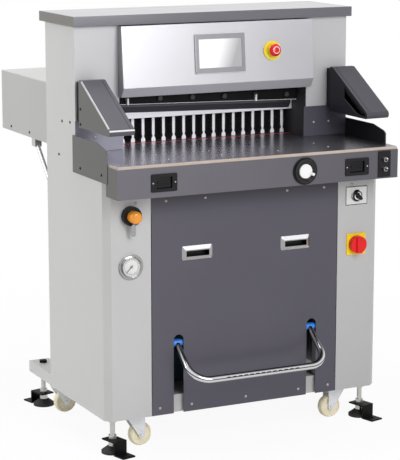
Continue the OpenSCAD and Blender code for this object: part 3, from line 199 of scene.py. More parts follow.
RECIPES = {
    "casing_paint": dict(CASING_COAT, tint="casing"),
    "column_paint": dict(CASING_COAT, tint="column"),
    "rear_paint": dict(LIGHT_COAT, tint="rear", spec=0.3),
    # Dark paint and arm paint carry a painted fall of light, brighter at the left and darker at the right.
    "dark_paint": dict(DARK_COAT, tint="dark", light_fall=(1.10, 0.68)),
    "dark_side": dict(DARK_COAT, tint="dark_side"),
    "arm_paint": dict(DARK_COAT, tint="arm", light_fall=(0.97, 0.62)),
    "arm_edge": dict(tint="arm_edge", rough=0.35, spread=0.03, grain=0.03, spec=0.3),
    "shade_paint": dict(tint="shade", rough=0.55, spread=0.06, grain=0.06, spec=0.15),
    "guard_light": dict(PLATE_COAT, tint="guard_light", rough=0.40, spec=0.3),
    "guard_dark": dict(PLATE_COAT, tint="guard_dark", rough=0.45, spec=0.2),
    "cover_paint": dict(SMOOTH_COAT, tint="cover", rough=0.30, coat=0.85),
    "cover_side": dict(SMOOTH_COAT, tint="cover_side", rough=0.40, spec=0.3),
    # The front panel carries a painted fall of light and a painted shadow below the apron.
    "front_paint": dict(SMOOTH_COAT, tint="front", rough=0.34, spec=0.3, coat=0.1, light_fall=(1.06, 0.85),
                        under=(0.74, 0.805, 0.5)),
    "silver_paint": dict(tint="silver", rough=0.30, spread=0.02, metal=0.5, grain=0.03, edge=0.2),
    "panel_side": dict(tint="panel_side", rough=0.45, spread=0.04, grain=0.04, spec=0.25),
    "chin_paint": dict(tint="chin", rough=0.45, spread=0.02, metal=0.1, grain=0.03, edge=0.2),
    # The bezel carries painted shading, lighter at the left and darker at the right.
    "bezel_plastic": dict(MOULDED, tint="bezel", rough=0.40, spread=0.05, grain=0.06, light_fall=(1.35, 0.45)),
    "frame_outline": dict(MOULDED, tint="outline", rough=0.40, spread=0.03, grain=0.03),
    "idle_screen": dict(tint="screen", rough=0.12, spread=0.01, patch=10.0, coat=0.5),
    "clear_glass": dict(MOULDED, tint="white", rough=0.05, spread=0.02, alpha=0.12),
    # The table carries a painted reflection, bright at the left and dark at the right.
    "table_plating": dict(tint="table", rough=0.26, spread=0.03, patch=2.5, metal=0.8, light_fall=(2.7, 0.33)),
    "table_edge_bare": dict(MOULDED, tint="table_edge", rough=0.45, spread=0.06, grain=0.05),
    "bright_steel": dict(GROUND, tint="bright", rough=0.24, spread=0.05, metal=1.0, grain=0.05),
    "lit_steel": dict(GROUND, tint="lit", rough=0.30, spread=0.02, metal=0.1, grain=0.04),
    "knife_steel": dict(tint="knife", rough=0.34, spread=0.08, metal=0.3, grain=0.05, stretch=(2, 60, 80)),
    "chrome": CHROMED,
    "pedal_chrome": CHROMED,
    "zinc": dict(PLATED, tint="zinc", spread=0.08, metal=0.9),
    "fork_plating": dict(PLATED, tint="fork", spread=0.05, metal=0.2),
    "screw_plating": dict(PLATED, tint="brass", spread=0.08, metal=0.8),
    "black_plastic": dict(CAST, tint="black", rough=0.36, spread=0.15, grain=0.10, spec=0.22),
    "gloss_black": dict(CAST, tint="black_steel", rough=0.14, spread=0.10, spec=0.35, coat=0.15),
    "fitting_plate": dict(CAST, tint="fitting", rough=0.34, spread=0.10, grain=0.06, spec=0.22),
    "black_steel": dict(HIDDEN_COAT, tint="black_steel", rough=0.5, spread=0.15, patch=20.0, spec=0.12),
    "bolt_paint": dict(tint="bolt", rough=0.40, spread=0.08, grain=0.06, spec=0.3),
    "rubber": dict(CAST, tint="rubber", rough=0.70, spread=0.15, grain=0.2),
    "frame_paint": dict(HIDDEN_COAT, tint="frame", rough=0.50, spread=0.08),
    "tank_paint": dict(HIDDEN_COAT, tint="tank", rough=0.45, spread=0.06),
    "red_plastic": dict(MOULDED, tint="red", rough=0.28, spread=0.05, spec=0.3, coat=0.1),
    "yellow_plastic": dict(MOULDED, tint="yellow", rough=0.35, spread=0.04, spec=0.3),
    "lemon_plastic": dict(MOULDED, tint="lemon", rough=0.35, spread=0.04, coat=0.2),
    "orange_plastic": dict(MOULDED, tint="orange", rough=0.28, spread=0.05, coat=0.4),
    "blue_plastic": dict(MOULDED, tint="blue", rough=0.25, spread=0.06, coat=0.7),
    "white_plastic": dict(MOULDED, tint="white", rough=0.35, spread=0.02),
    "cream_plastic": dict(CAST, tint="cream", rough=0.45, spread=0.06, grain=0.05),
    "selector_plate": dict(MOULDED, tint="plate", rough=0.40, spread=0.03, metal=0.3),
}

# Painted reflections: brightness of chrome where it looks down, at 0, to where it looks up, at 1.
REFLECTION_BANDS = {
    "chrome": [(0.0, 0.22), (0.32, 0.12), (0.46, 0.40), (0.54, 0.52), (0.64, 0.22), (0.74, 0.95),
               (1.0, 0.80)],
    "pedal_chrome": [(0.0, 0.06), (0.14, 0.12), (0.24, 0.70), (0.46, 0.85), (0.53, 0.12), (0.62, 0.10),
                     (0.68, 0.90), (0.82, 0.80), (0.90, 0.14), (1.0, 0.10)],
}

# Patches and gloss, relief and edges of all finishes, then the screen's painted reflection, darker towards
# its lower right, and its glow.
PATCH_ENDS = (0.3, 0.7)
GLOSS_SPREAD = 0.2
GRAIN_SCALE = 700.0
GRAIN_DEPTH = 0.0005
EDGE_RADIUS = 0.0015
EDGE_TURN = (0.98, 0.80)
EDGE_PALER = 1.6
# Span across which the painted fall of light runs.
MACHINE_WIDTH = (-0.48, 0.48)
SCREEN_LEAN = -0.35
SCREEN_REACH = 0.08
SCREEN_REFLECTION_FADE = ((0.45, 1.0), (0.85, 0.42))
SCREEN_GLOW = 0.14


def scaled(tint, factor):
    """A colour made lighter or darker."""
    return tuple(min(1.0, part * factor) for part in tint) + (1.0,)


def opened(holder):
    """The nodes of a material or a world, and the function that links them."""
    holder.use_nodes = True
    return holder.node_tree.nodes, holder.node_tree.links.new


def object_place(nodes):
    """The place on the piece."""
    return nodes.new("ShaderNodeTexCoord").outputs["Object"]


def axis_part(nodes, link, vector, axis):
    """One axis of a vector."""
    split = nodes.new("ShaderNodeSeparateXYZ")
    link(vector, split.inputs["Vector"])
    return split.outputs[axis]


def ranged(nodes, link, value, ends=(0.0, 1.0), levels=(0.0, 1.0)):
    """Turns a value between two ends into one between two levels."""
    change = nodes.new("ShaderNodeMapRange")
    for name, amount in zip(("From Min", "From Max", "To Min", "To Max"), (*ends, *levels)):
        change.inputs[name].default_value = amount
    link(value, change.inputs["Value"])
    return change.outputs["Result"]


def worked(nodes, link, operation, *values, kind="ShaderNodeMath"):
    """Works a value out from others, each a number or an output of a node."""
    sum_node = nodes.new(kind)
    sum_node.operation = operation
    for socket, value in zip(sum_node.inputs, values):
        if isinstance(value, float):
            socket.default_value = value
        else:
            link(value, socket)
    return sum_node.outputs["Value"]


def noise(nodes, link, place, scale, detail=2.0):
    """A soft random pattern."""
    pattern = nodes.new("ShaderNodeTexNoise")
    pattern.inputs["Scale"].default_value = scale
    pattern.inputs["Detail"].default_value = detail
    link(place, pattern.inputs["Vector"])
    return pattern.outputs["Fac"]


def surface(name, tint, rough, spread, patch=4.0, metal=0.0, spec=0.5, coat=0.0, grain=0.0, edge=0.0,
            stretch=(1, 1, 1), light_fall=None, under=None, alpha=1.0):
    """Builds a finish with patchy tint and gloss, a fine grain, paler edges, and painted light and shade in
    its tint.
    """
    tint = getattr(bpy.context.scene.cutter_colours, tint)
    material = bpy.data.materials.new("finish_" + name)
    nodes, link = opened(material)
    base = nodes["Principled BSDF"]
    base.inputs["Metallic"].default_value = metal
    base.inputs["Specular IOR Level"].default_value = spec
    base.inputs["Coat Weight"].default_value = coat
    base.inputs["Coat Roughness"].default_value = rough * 0.5
    base.inputs["Alpha"].default_value = alpha
    where = object_place(nodes)
    along = nodes.new("ShaderNodeMapping")
    along.inputs["Scale"].default_value = stretch
    link(where, along.inputs["Vector"])
    cloud = noise(nodes, link, along.outputs["Vector"], patch, 4.0)
    patches = nodes.new("ShaderNodeValToRGB")
    low, high = patches.color_ramp.elements
    low.position, high.position = PATCH_ENDS
    low.color, high.color = scaled(tint, 1 - spread), scaled(tint, 1 + spread)
    link(cloud, patches.inputs["Fac"])
    gloss = ranged(nodes, link, cloud, levels=(rough * (1 - GLOSS_SPREAD), rough * (1 + GLOSS_SPREAD)))
    link(gloss, base.inputs["Roughness"])
    tinted = patches.outputs["Color"]
    if edge:
        tinted = edge_line(nodes, link, tinted, tint, edge)
    # Painted light falling off from the machine's left to its right.
    if light_fall:
        across = axis_part(nodes, link, where, "X")
        tinted = painted_light_ramp(nodes, link, tinted, across, MACHINE_WIDTH, light_fall)
    # A painted shadow below the apron.
    if under:
        height = axis_part(nodes, link, where, "Z")
        tinted = painted_light_ramp(nodes, link, tinted, height, under[:2], (1.0, under[2]))
    link(tinted, base.inputs["Base Color"])
    if grain:
        relief = nodes.new("ShaderNodeBump")
        relief.inputs["Strength"].default_value = grain
        relief.inputs["Distance"].default_value = GRAIN_DEPTH
        link(noise(nodes, link, along.outputs["Vector"], GRAIN_SCALE), relief.inputs["Height"])
        link(relief.outputs["Normal"], base.inputs["Normal"])
    return material


def edge_line(nodes, link, tinted, tint, strength):
    """Mixes a paler tint in where the surface turns over an edge."""
    corner = nodes.new("ShaderNodeBevel")
    corner.inputs["Radius"].default_value = EDGE_RADIUS
    face = nodes.new("ShaderNodeNewGeometry")
    turn = worked(nodes, link, "DOT_PRODUCT", corner.outputs["Normal"], face.outputs["Normal"],
                  kind="ShaderNodeVectorMath")
    blend = nodes.new("ShaderNodeMix")
    blend.data_type = "RGBA"
    colour_a, colour_b = [socket for socket in blend.inputs if socket.type == "RGBA"]
    colour_b.default_value = scaled(tint, EDGE_PALER)
    link(ranged(nodes, link, turn, EDGE_TURN, (0.0, strength)), blend.inputs["Factor"])
    link(tinted, colour_a)
    return [socket for socket in blend.outputs if socket.type == "RGBA"][0]


def painted_light_ramp(nodes, link, tinted, place, ends, levels):
    """Scales a tint from one level to another between two places along an axis, painting light and shade into
    it.
    """
    toned = nodes.new("ShaderNodeVectorMath")
    toned.operation = "SCALE"
    link(tinted, toned.inputs[0])
    link(ranged(nodes, link, place, ends, levels), toned.inputs["Scale"])
    return toned.outputs["Vector"]


def paint_reflection_bands(material, bands):
    """Paints a reflection into chrome: its brightness turns with its surface, as if it mirrored a pale room
    with dark sides.
    """
    nodes, link = opened(material)
    normal = nodes.new("ShaderNodeNewGeometry").outputs["Normal"]
    ramp = nodes.new("ShaderNodeValToRGB")
    tint = bpy.context.scene.cutter_colours.chrome
    stops = ramp.color_ramp.elements
    stops.remove(stops[1])
    stops[0].color = scaled(tint, bands[0][1])
    for position, level in bands[1:]:
        stops.new(position).color = scaled(tint, level)
    link(ranged(nodes, link, axis_part(nodes, link, normal, "Z"), (-1.0, 1.0)), ramp.inputs["Fac"])
    link(ramp.outputs["Color"], nodes["Principled BSDF"].inputs["Base Color"])


def screen_glow_and_reflection(material):
    """Makes an idle screen glow a little and darken softly towards its lower right, as a painted reflection.
    """
    nodes, link = opened(material)
    where = object_place(nodes)
    lean = worked(nodes, link, "MULTIPLY_ADD", axis_part(nodes, link, where, "Z"), SCREEN_LEAN,
                  axis_part(nodes, link, where, "X"))
    centre = SCREEN_LEAN * middle("screen_glass").z
    reflection_fade = nodes.new("ShaderNodeValToRGB")
    tint = bpy.context.scene.cutter_colours.screen
    for stop, (position, level) in zip(reflection_fade.color_ramp.elements, SCREEN_REFLECTION_FADE):
        stop.position = position
        stop.color = scaled(tint, level)
    link(ranged(nodes, link, lean, (centre - SCREEN_REACH, centre + SCREEN_REACH)), reflection_fade.inputs["Fac"])
    base = nodes["Principled BSDF"]
    link(reflection_fade.outputs["Color"], base.inputs["Base Color"])
    link(reflection_fade.outputs["Color"], base.inputs["Emission Color"])
    base.inputs["Emission Strength"].default_value = SCREEN_GLOW


def finish(name):
    """Returns a finish, built the first time that it is asked for."""
    found = bpy.data.materials.get("finish_" + name)
    if found:
        return found
    made = surface(name, **RECIPES[name])
    if name in REFLECTION_BANDS:
        paint_reflection_bands(made, REFLECTION_BANDS[name])
    if name == "idle_screen":
        screen_glow_and_reflection(made)
    return made


def faces_front(place, turn):
    """Tells whether a face looks straight to the front."""
    return turn.y < -STRAIGHT


def faces_left(place, turn):
    """Tells whether a face of the left half looks straight to the left."""
    return turn.x < -STRAIGHT and place.x < 0.0


def faces_down(place, turn):
    """Tells whether a face slants down and to the front."""
    return turn.y < -FORWARD_LEAN and turn.z < -SLANTED


def faces_up(place, turn):
    """Tells whether a face slants up and to the front."""
    return turn.y < -FORWARD_LEAN and turn.z > SLANTED


def paint(piece, material):
    """Gives a piece one finish all over."""
    piece.data.materials.clear()
    piece.data.materials.append(material)


def paint_faces(piece, kind, test):
    """Gives a further finish to the faces that pass the test."""
    piece.data.materials.append(finish(kind))
    index = len(piece.data.materials) - 1
    for face in piece.data.polygons:
        if test(face):
            face.material_index = index


def repaint(piece, kind, test):
    """Gives a further finish to the faces whose middle and direction pass the test."""
    paint_faces(piece, kind, lambda face: test(face.center, face.normal))


def repaint_round(piece, kind, centre, radius):
    """Gives a further finish to the faces that lie wholly within a radius of an axis along the depth."""
    points = [v.co for v in piece.data.vertices]

    def within(face):
        corners = [points[i] for i in face.vertices]
        return max(math.hypot(p.x - centre.x, p.z - centre.z) for p in corners) < radius

    paint_faces(piece, kind, within)


def only(piece):
    """Selects one object alone and makes it active."""
    bpy.ops.object.select_all(action="DESELECT")
    piece.select_set(True)
    bpy.context.view_layer.objects.active = piece


def edit(piece, action="SELECT", parts=None):
    """Opens one piece for editing, with all or none of it selected."""
    only(piece)
    bpy.ops.object.mode_set(mode="EDIT")
    if parts:
        bpy.ops.mesh.select_mode(type=parts)
    bpy.ops.mesh.select_all(action=action)


def close():
    """Ends the editing of a piece."""
    bpy.ops.object.mode_set(mode="OBJECT")


def soften(piece, angle=32.0):
    """Shades a piece smoothly up to an angle and keeps its large faces flat."""
    only(piece)
    bpy.ops.object.shade_smooth_by_angle(angle=math.radians(angle))
    weigh = piece.modifiers.new("weighted", "WEIGHTED_NORMAL")
    weigh.keep_sharp = True
    bpy.ops.object.modifier_apply(modifier=weigh.name)
    return piece


def settle(piece, name, kind, body="machine", node=None):
    """Names a finished piece, paints it, ties it to its body and hides the solid that it stands for."""
    piece.name = name
    piece.data.name = name
    paint(piece, finish(kind))
    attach(piece, body)
    if node:
        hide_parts(node)
    return piece


def copied(node):
    """Copies a solid and joins its loose triangles into clean faces."""
    only(NODES[node])
    bpy.ops.object.duplicate()
    piece = bpy.context.object
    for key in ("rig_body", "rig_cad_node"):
        if key in piece:
            del piece[key]
    edit(piece)
    bpy.ops.mesh.customdata_custom_splitnormals_clear()
    bpy.ops.mesh.remove_doubles(threshold=0.00001)
    bpy.ops.mesh.dissolve_limited(angle_limit=math.radians(0.5))
    close()
    return piece


def rounded(piece, width, longer=0.0, test=None, segments=3):
    """Rounds those of a piece's sharp edges that are long enough and pass the test."""
    edit(piece, "DESELECT", "EDGE")
    bpy.ops.mesh.edges_select_sharp(sharpness=math.radians(25))
    net = bmesh.from_edit_mesh(piece.data)
    for edge in net.edges:
        if edge.select and edge.calc_length() < longer:
            edge.select = False
        if edge.select and test and not test(*[v.co for v in edge.verts]):
            edge.select = False
    bmesh.update_edit_mesh(piece.data)
    bpy.ops.mesh.bevel(offset=width, segments=segments, profile=0.5, clamp_overlap=True)
    close()


def inset_fronts(piece, width, larger=0.00005):
    """Insets a piece's large front faces, so that their borders can have a finish of their own."""
    edit(piece, "DESELECT", "FACE")
    net = bmesh.from_edit_mesh(piece.data)
    for face in net.faces:
        face.select = faces_front(None, face.normal) and face.calc_area() > larger
    bmesh.update_edit_mesh(piece.data)
    bpy.ops.mesh.inset(thickness=width)
    close()


def dressed(node, name, kind, width=0.0, longer=0.0, test=None, segments=3, inset=0.0):
    """Stands a rounded and painted copy in a solid's place."""
    piece = copied(node)
    if width:
        rounded(piece, width, longer, test, segments)
    if inset:
        inset_fronts(piece, inset)
    return settle(soften(piece), name, kind, NODES[node]["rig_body"], node)


def folded(node, name, kind):
    """Stands a painted sheet with rounded folds in a solid's place."""
    return dressed(node, name, kind, bpy.context.scene.cutter_sizes.sheet_edge, longer=0.006)


def kept(node, kind):
    """Gives a solid that is shown as it is its finish."""
    paint(NODES[node], finish(kind))


def apply_place(piece):
    """Puts a piece's place into its mesh."""
    only(piece)
    bpy.ops.object.transform_apply(location=True, rotation=True, scale=True)
    return piece


def aimed(direction, axis="Z"):
    """The turn that points an axis of a piece in a direction."""
    return Vector(direction).to_track_quat(axis, "Y").to_euler()


def bar(low, high, width=0.0):
    """Adds a block between two corners, with its edges rounded."""
    low, high = Vector(low), Vector(high)
    bpy.ops.object.select_all(action="DESELECT")
    bpy.ops.mesh.primitive_cube_add(size=1.0, location=(low + high) / 2)
    piece = bpy.context.object
    piece.scale = high - low
    apply_place(piece)
    if width:
        rounded(piece, width)
    return piece


def turned(profile, place, facing, steps=64):
    """Turns a profile of radii and heights round its axis, then points it in a direction at a place."""
    bpy.ops.object.select_all(action="DESELECT")
    bpy.ops.mesh.primitive_plane_add(size=0.001, location=ORIGIN)
    piece = bpy.context.object
    edit(piece, parts="VERT")
    bpy.ops.mesh.merge(type="CENTER")
    bpy.ops.transform.translate(value=(profile[0][0], 0.0, profile[0][1]))
    for here, there in zip(profile, profile[1:]):
        step = (there[0] - here[0], 0.0, there[1] - here[1])
        bpy.ops.mesh.extrude_region_move(TRANSFORM_OT_translate={"value": step})
    bpy.ops.mesh.select_all(action="SELECT")
    bpy.ops.mesh.spin(steps=steps, angle=math.tau, center=ORIGIN, axis=UPWARD)
    bpy.ops.mesh.select_all(action="SELECT")
    bpy.ops.mesh.remove_doubles(threshold=0.000005)
    bpy.ops.mesh.normals_make_consistent(inside=False)
    close()
    piece.rotation_euler = aimed(facing)
    piece.location = place
    return apply_place(piece)


def band(inner, outer, back, front):
    """The profile of a flat ring."""
    return [(inner, back), (inner, front), (outer, front), (outer, back)]


def joined(pieces):
    """Joins pieces into the first of them."""
    only(pieces[0])
    for piece in pieces:
        piece.select_set(True)
    bpy.ops.object.join()
    return bpy.context.object


def twin(piece, place, turn=(0.0, 0.0, 0.0), factor=1.0):
    """Copies a piece, with its own mesh, to a place, a turn and a size."""
    only(piece)
    bpy.ops.object.duplicate()
    copy = bpy.context.object
    copy.location = place
    copy.rotation_euler = turn
    copy.scale = (factor, factor, factor)
    return apply_place(copy)


def middle(node):
    """The middle of a solid's box."""
    low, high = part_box(node)
    return (low + high) / 2


def points_of(node):
    """The points of a solid's mesh."""
    return [v.co for v in NODES[node].data.vertices]


def joint_part(name, key):
    """A joint's place or axis."""
    return next(Vector(joint[key]) for joint in frame["joints"] if joint["name"] == name)


class CutterOperator:
    """Shared settings of the operators."""
    bl_options = {"REGISTER", "UNDO"}


class CUTTER_OT_casings(CutterOperator, bpy.types.Operator):
    """Rounds and paints the light casings, the base and the rear guard"""
    bl_idname = "cutter.casings"
    bl_label = "Casings"

    def execute(self, context):
        for node, name in (("lower_casings", "lower_casing_sheets"), ("rear_panels", "rear_panel_sheets"),
                           ("base_frame", "welded_base"), ("rear_lid", "rear_lid_sheet")):
            folded(node, name, "casing_paint")
        columns = folded("column_casings", "column_casing_sheets", "casing_paint")
        # The columns' fronts are painted lit.
        repaint(columns, "column_paint", faces_front)
        # The rear guard's walls are painted in shade.
        folded("rear_guard", "rear_guard_walls", "rear_paint")
        return {"FINISHED"}


class CUTTER_OT_dark_sheets(CutterOperator, bpy.types.Operator):
    """Rounds and paints the top cover, front panel, apron, side guards and arms"""
    bl_idname = "cutter.dark_sheets"
    bl_label = "Dark sheets"

    def execute(self, context):
        sizes = context.scene.cutter_sizes
        cover = dressed("top_cover", "top_cover_pan", "cover_paint", sizes.cover_edge,
                        longer=0.05)
        folded("front_panel", "front_panel_sheet", "front_paint")
        apron = folded("front_apron", "front_apron_sheet", "dark_paint")
        # Left faces take painted shading.
        repaint(cover, "cover_side", faces_left)
        repaint(apron, "dark_side", faces_left)
        folded("light_curtains", "light_curtain_bars", "black_plastic")
        self.guards()
        self.arms(sizes)
        return {"FINISHED"}

    def guards(self):
        """Makes the side guards with painted shade on their inner faces, painted shading on their left faces,
        and front plates painted lit on the left and shaded on the right.
        """
        guards = folded("side_guards", "side_guard_plates", "dark_paint")
        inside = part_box("side_guards")[1].x - 0.01
        # Faces turned inwards take painted shade.
        repaint(guards, "shade_paint", lambda place, turn: turn.x * place.x < 0.0 and abs(turn.x) > STRAIGHT)
        # The left guard's outer face takes painted shading.
        repaint(guards, "dark_side", lambda place, turn: turn.x < -STRAIGHT and place.x < -inside)
        # The left front plate is painted lit and the right one painted in shade.
        for kind, side in (("guard_light", -1.0), ("guard_dark", 1.0)):
            repaint(guards, kind,
                    lambda place, turn: faces_front(place, turn) and 0.0 < side * place.x < inside)

    def arms(self, sizes):
        """Makes the arms with painted shade inside, painted shading on their left faces, seam lines, and a
        painted highlight along the left one's slope and nose.
        """
        low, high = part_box("guard_arms")
        arms = dressed("guard_arms", "light_curtain_arms", "arm_paint", sizes.arm_edge,
                       longer=0.004)
        lip = low.z + 0.012
        nose = low.y + 0.02
        # Inner faces and the window's inside take painted shade.
        repaint(arms, "shade_paint", lambda place, turn: turn.x * place.x < -0.1 * abs(place.x)
                or (turn.z < -SLANTED and place.z > lip))
        # Left faces take painted shading.
        repaint(arms, "dark_side", faces_left)
        # A painted highlight along the top of the left arm's nose.
        repaint(arms, "arm_edge", lambda place, turn: place.x < 0.0 and place.y < nose
                and abs(turn.x) < 0.1 and 0.25 < turn.z < 0.62)
        points = points_of("guard_arms")
        outer = [p for p in points if p.x > high.x - IN_LINE]
        upper = min((p for p in outer if p.z > high.z - IN_LINE), key=lambda p: p.y)
        lower = min((p for p in outer if p.y < upper.y - 0.01),
                    key=lambda p: math.atan2(upper.z - p.z, upper.y - p.y))
        half = (upper - lower).length / 2
        inner = min(abs(p.x) for p in points)
        seams = []
        for side in (-1.0, 1.0):
            seam = bar((-0.0007, -half, -0.0004), (0.0007, half, 0.0004))
            seams.append(self.laid(seam, upper, lower, side * (inner + sizes.seam)))
        settle(joined(seams), "arm_seam_lines", "shade_paint")
        # A pale strip along the left arm's outer slope edge, as a painted highlight.
        wide = sizes.edge_strip
        proud = 0.0003
        strip = soften(bar((-proud, -half, proud - wide), (wide - proud, half, proud), wide * 0.45))
        self.laid(strip, upper, lower, -high.x)
        settle(strip, "arm_edge_strip", "arm_edge")

    def laid(self, piece, upper, lower, across):
        """Lays a piece along the arms' slope at a place across the machine."""
        reach = upper - lower
        piece.rotation_euler = (math.atan2(reach.z, reach.y), 0.0, 0.0)
        piece.location = (upper + lower) / 2
        piece.location.x = across
        return apply_place(piece)


class CUTTER_OT_control_panel(CutterOperator, bpy.types.Operator):
    """Makes the silver control panel with its screen and stop button"""
    bl_idname = "cutter.control_panel"
    bl_label = "Control panel"

    def execute(self, context):
        sizes = context.scene.cutter_sizes
        shell = folded("control_panel", "control_panel_shell", "silver_paint")
        repaint(shell, "panel_side", lambda place, turn: abs(turn.x) > STRAIGHT)
        # The chin takes painted shading.
        repaint(shell, "chin_paint", faces_down)
        self.screen_frame(sizes)
        dressed("screen_glass", "screen_face", "idle_screen")
        dressed("estop_collar", "stop_collar", "lemon_plastic", sizes.small_edge)
        self.stop_button()
        return {"FINISHED"}

    def screen_frame(self, sizes):
        """Makes the screen's frame with a pale outline, carried over the frame's sides as painted light."""
        rim = dressed("screen_bezel", "screen_frame", "bezel_plastic", sizes.small_edge,
                      inset=sizes.screen_line)
        low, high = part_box("screen_bezel")
        mid = (low + high) / 2
        wide = high.x - mid.x - 0.0014
        tall = high.z - mid.z - 0.0018
        # The pale outline covers the frame's front border, and its sides as painted light over their shade.
        repaint(rim, "frame_outline",
                lambda place, turn: abs(place.x - mid.x) > wide or abs(place.z - mid.z) > tall)

    def stop_button(self):
        """Turns the mushroom head and lays a pale ring on it, standing for its printed arrow ring and partly
        a painted highlight.
        """
        out = -joint_part("estop_push", "axis").normalized()
        depths = [p.dot(out) for p in points_of("estop_button")]
        front = max(depths)
        deep = front - min(depths)
        spot = middle("estop_button")
        spot = spot + out * (front - spot.dot(out))
        head = turned([(0.0, 0.0), (0.008, -0.0003), (0.013, -0.0015), (0.0175, -0.0045), (0.0198, -0.008),
                       (0.0198, -0.0115), (0.017, -0.015), (0.008, -0.0158), (0.008, -deep), (0.0, -deep)],
                      spot, out)
        settle(soften(head), "stop_button_head", "red_plastic", body="estop", node="estop_button")
        # The pale ring is partly print and partly a painted highlight.
        ring = turned([(0.0095, -0.0012), (0.0095, 0.0001), (0.0115, -0.0004), (0.0115, -0.0016)], spot, out)
        settle(soften(ring), "stop_button_ring", "white_plastic", body="estop")


class CUTTER_OT_table(CutterOperator, bpy.types.Operator):
    """Makes the polished table with its bare edges, air balls and cutting stick"""
    bl_idname = "cutter.table"
    bl_label = "Table"
    ball_columns = (-0.277, -0.098, 0.098, 0.277)
    ball_rows = (-0.020, 0.070, 0.160)

    def execute(self, context):
        sizes = context.scene.cutter_sizes
        top = dressed("work_table", "work_table_top", "table_plating", sizes.sheet_edge,
                      longer=0.02)
        low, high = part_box("work_table")
        corners = low.y + 0.06
        repaint(top, "table_edge_bare",
                lambda place, turn: place.y < corners and min(turn.y, -abs(turn.x)) < -SLANTED)
        dressed("cutting_stick", "cutting_stick_bar", "red_plastic")
        r = sizes.ball
        sunk = -0.0005
        ball = turned([(0.0, r * 0.25), (r * 0.5, r * 0.2), (r * 0.85, r * 0.05), (r, sunk), (0.0, sunk)],
                      ORIGIN, UPWARD, 24)
        soften(ball)
        balls = [twin(ball, (x, FRONT_Y + y, high.z)) for x in self.ball_columns for y in self.ball_rows]
        bpy.data.objects.remove(ball)
        settle(joined(balls), "table_air_balls", "bright_steel")
        return {"FINISHED"}


class CUTTER_OT_apron_controls(CutterOperator, bpy.types.Operator):
    """Makes the cut buttons, toggles and handwheel on the apron"""
    bl_idname = "cutter.apron_controls"
    bl_label = "Apron controls"

    def execute(self, context):
        sizes = context.scene.cutter_sizes
        self.plates(sizes)
        for node in ("cut_button_left", "cut_button_right"):
            self.cut_button(node, sizes)
        for node in ("toggle_upper", "toggle_lower"):
            dressed(node, node + "_lever", "chrome")
        self.handwheel(sizes)
        return {"FINISHED"}

    def plates(self, sizes):
        """Makes the dark plates with black cups and bright toggle nuts."""
        plates = dressed("apron_plates", "apron_fitting_plates", "black_plastic", width=sizes.fine_edge)
        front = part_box("front_apron")[0].y
        repaint(plates, "fitting_plate", lambda place, turn: faces_front(place, turn)
                and front - 0.0045 < place.y < front - 0.0005 and abs(place.x) > 0.2)
        lever = middle("toggle_upper")
        repaint(plates, "chrome",
                lambda place, turn: abs(place.x - lever.x) < 0.009 and place.y < front - 0.0035)

    def cut_button(self, node, sizes):
        """Makes a cut button with a ridge across its middle."""
        button = copied(node)
        rounded(button, sizes.knob_edge)
        low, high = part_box(node)
        mid = middle(node)
        short = 0.006
        half = 0.0035
        ridge = bar((low.x + short, low.y - 0.0022, mid.z - half),
                    (high.x - short, low.y + 0.002, mid.z + half), 0.0012)
        button = soften(joined([button, ridge]))
        settle(button, node + "_cap", "black_plastic", body=NODES[node]["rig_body"], node=node)

    def handwheel(self, sizes):
        """Makes a glossy black dish round a white dial with a finger knob."""
        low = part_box("handwheel")[0]
        wheel = dressed("handwheel", "handwheel_rim", "gloss_black", sizes.fine_edge)
        repaint_round(wheel, "white_plastic", joint_part("handwheel_turn", "pos_m"), 0.0226)
        points = [p for p in points_of("handwheel") if p.y < low.y + IN_LINE]
        repaint_round(wheel, "white_plastic", sum(points, Vector()) / len(points), 0.006)


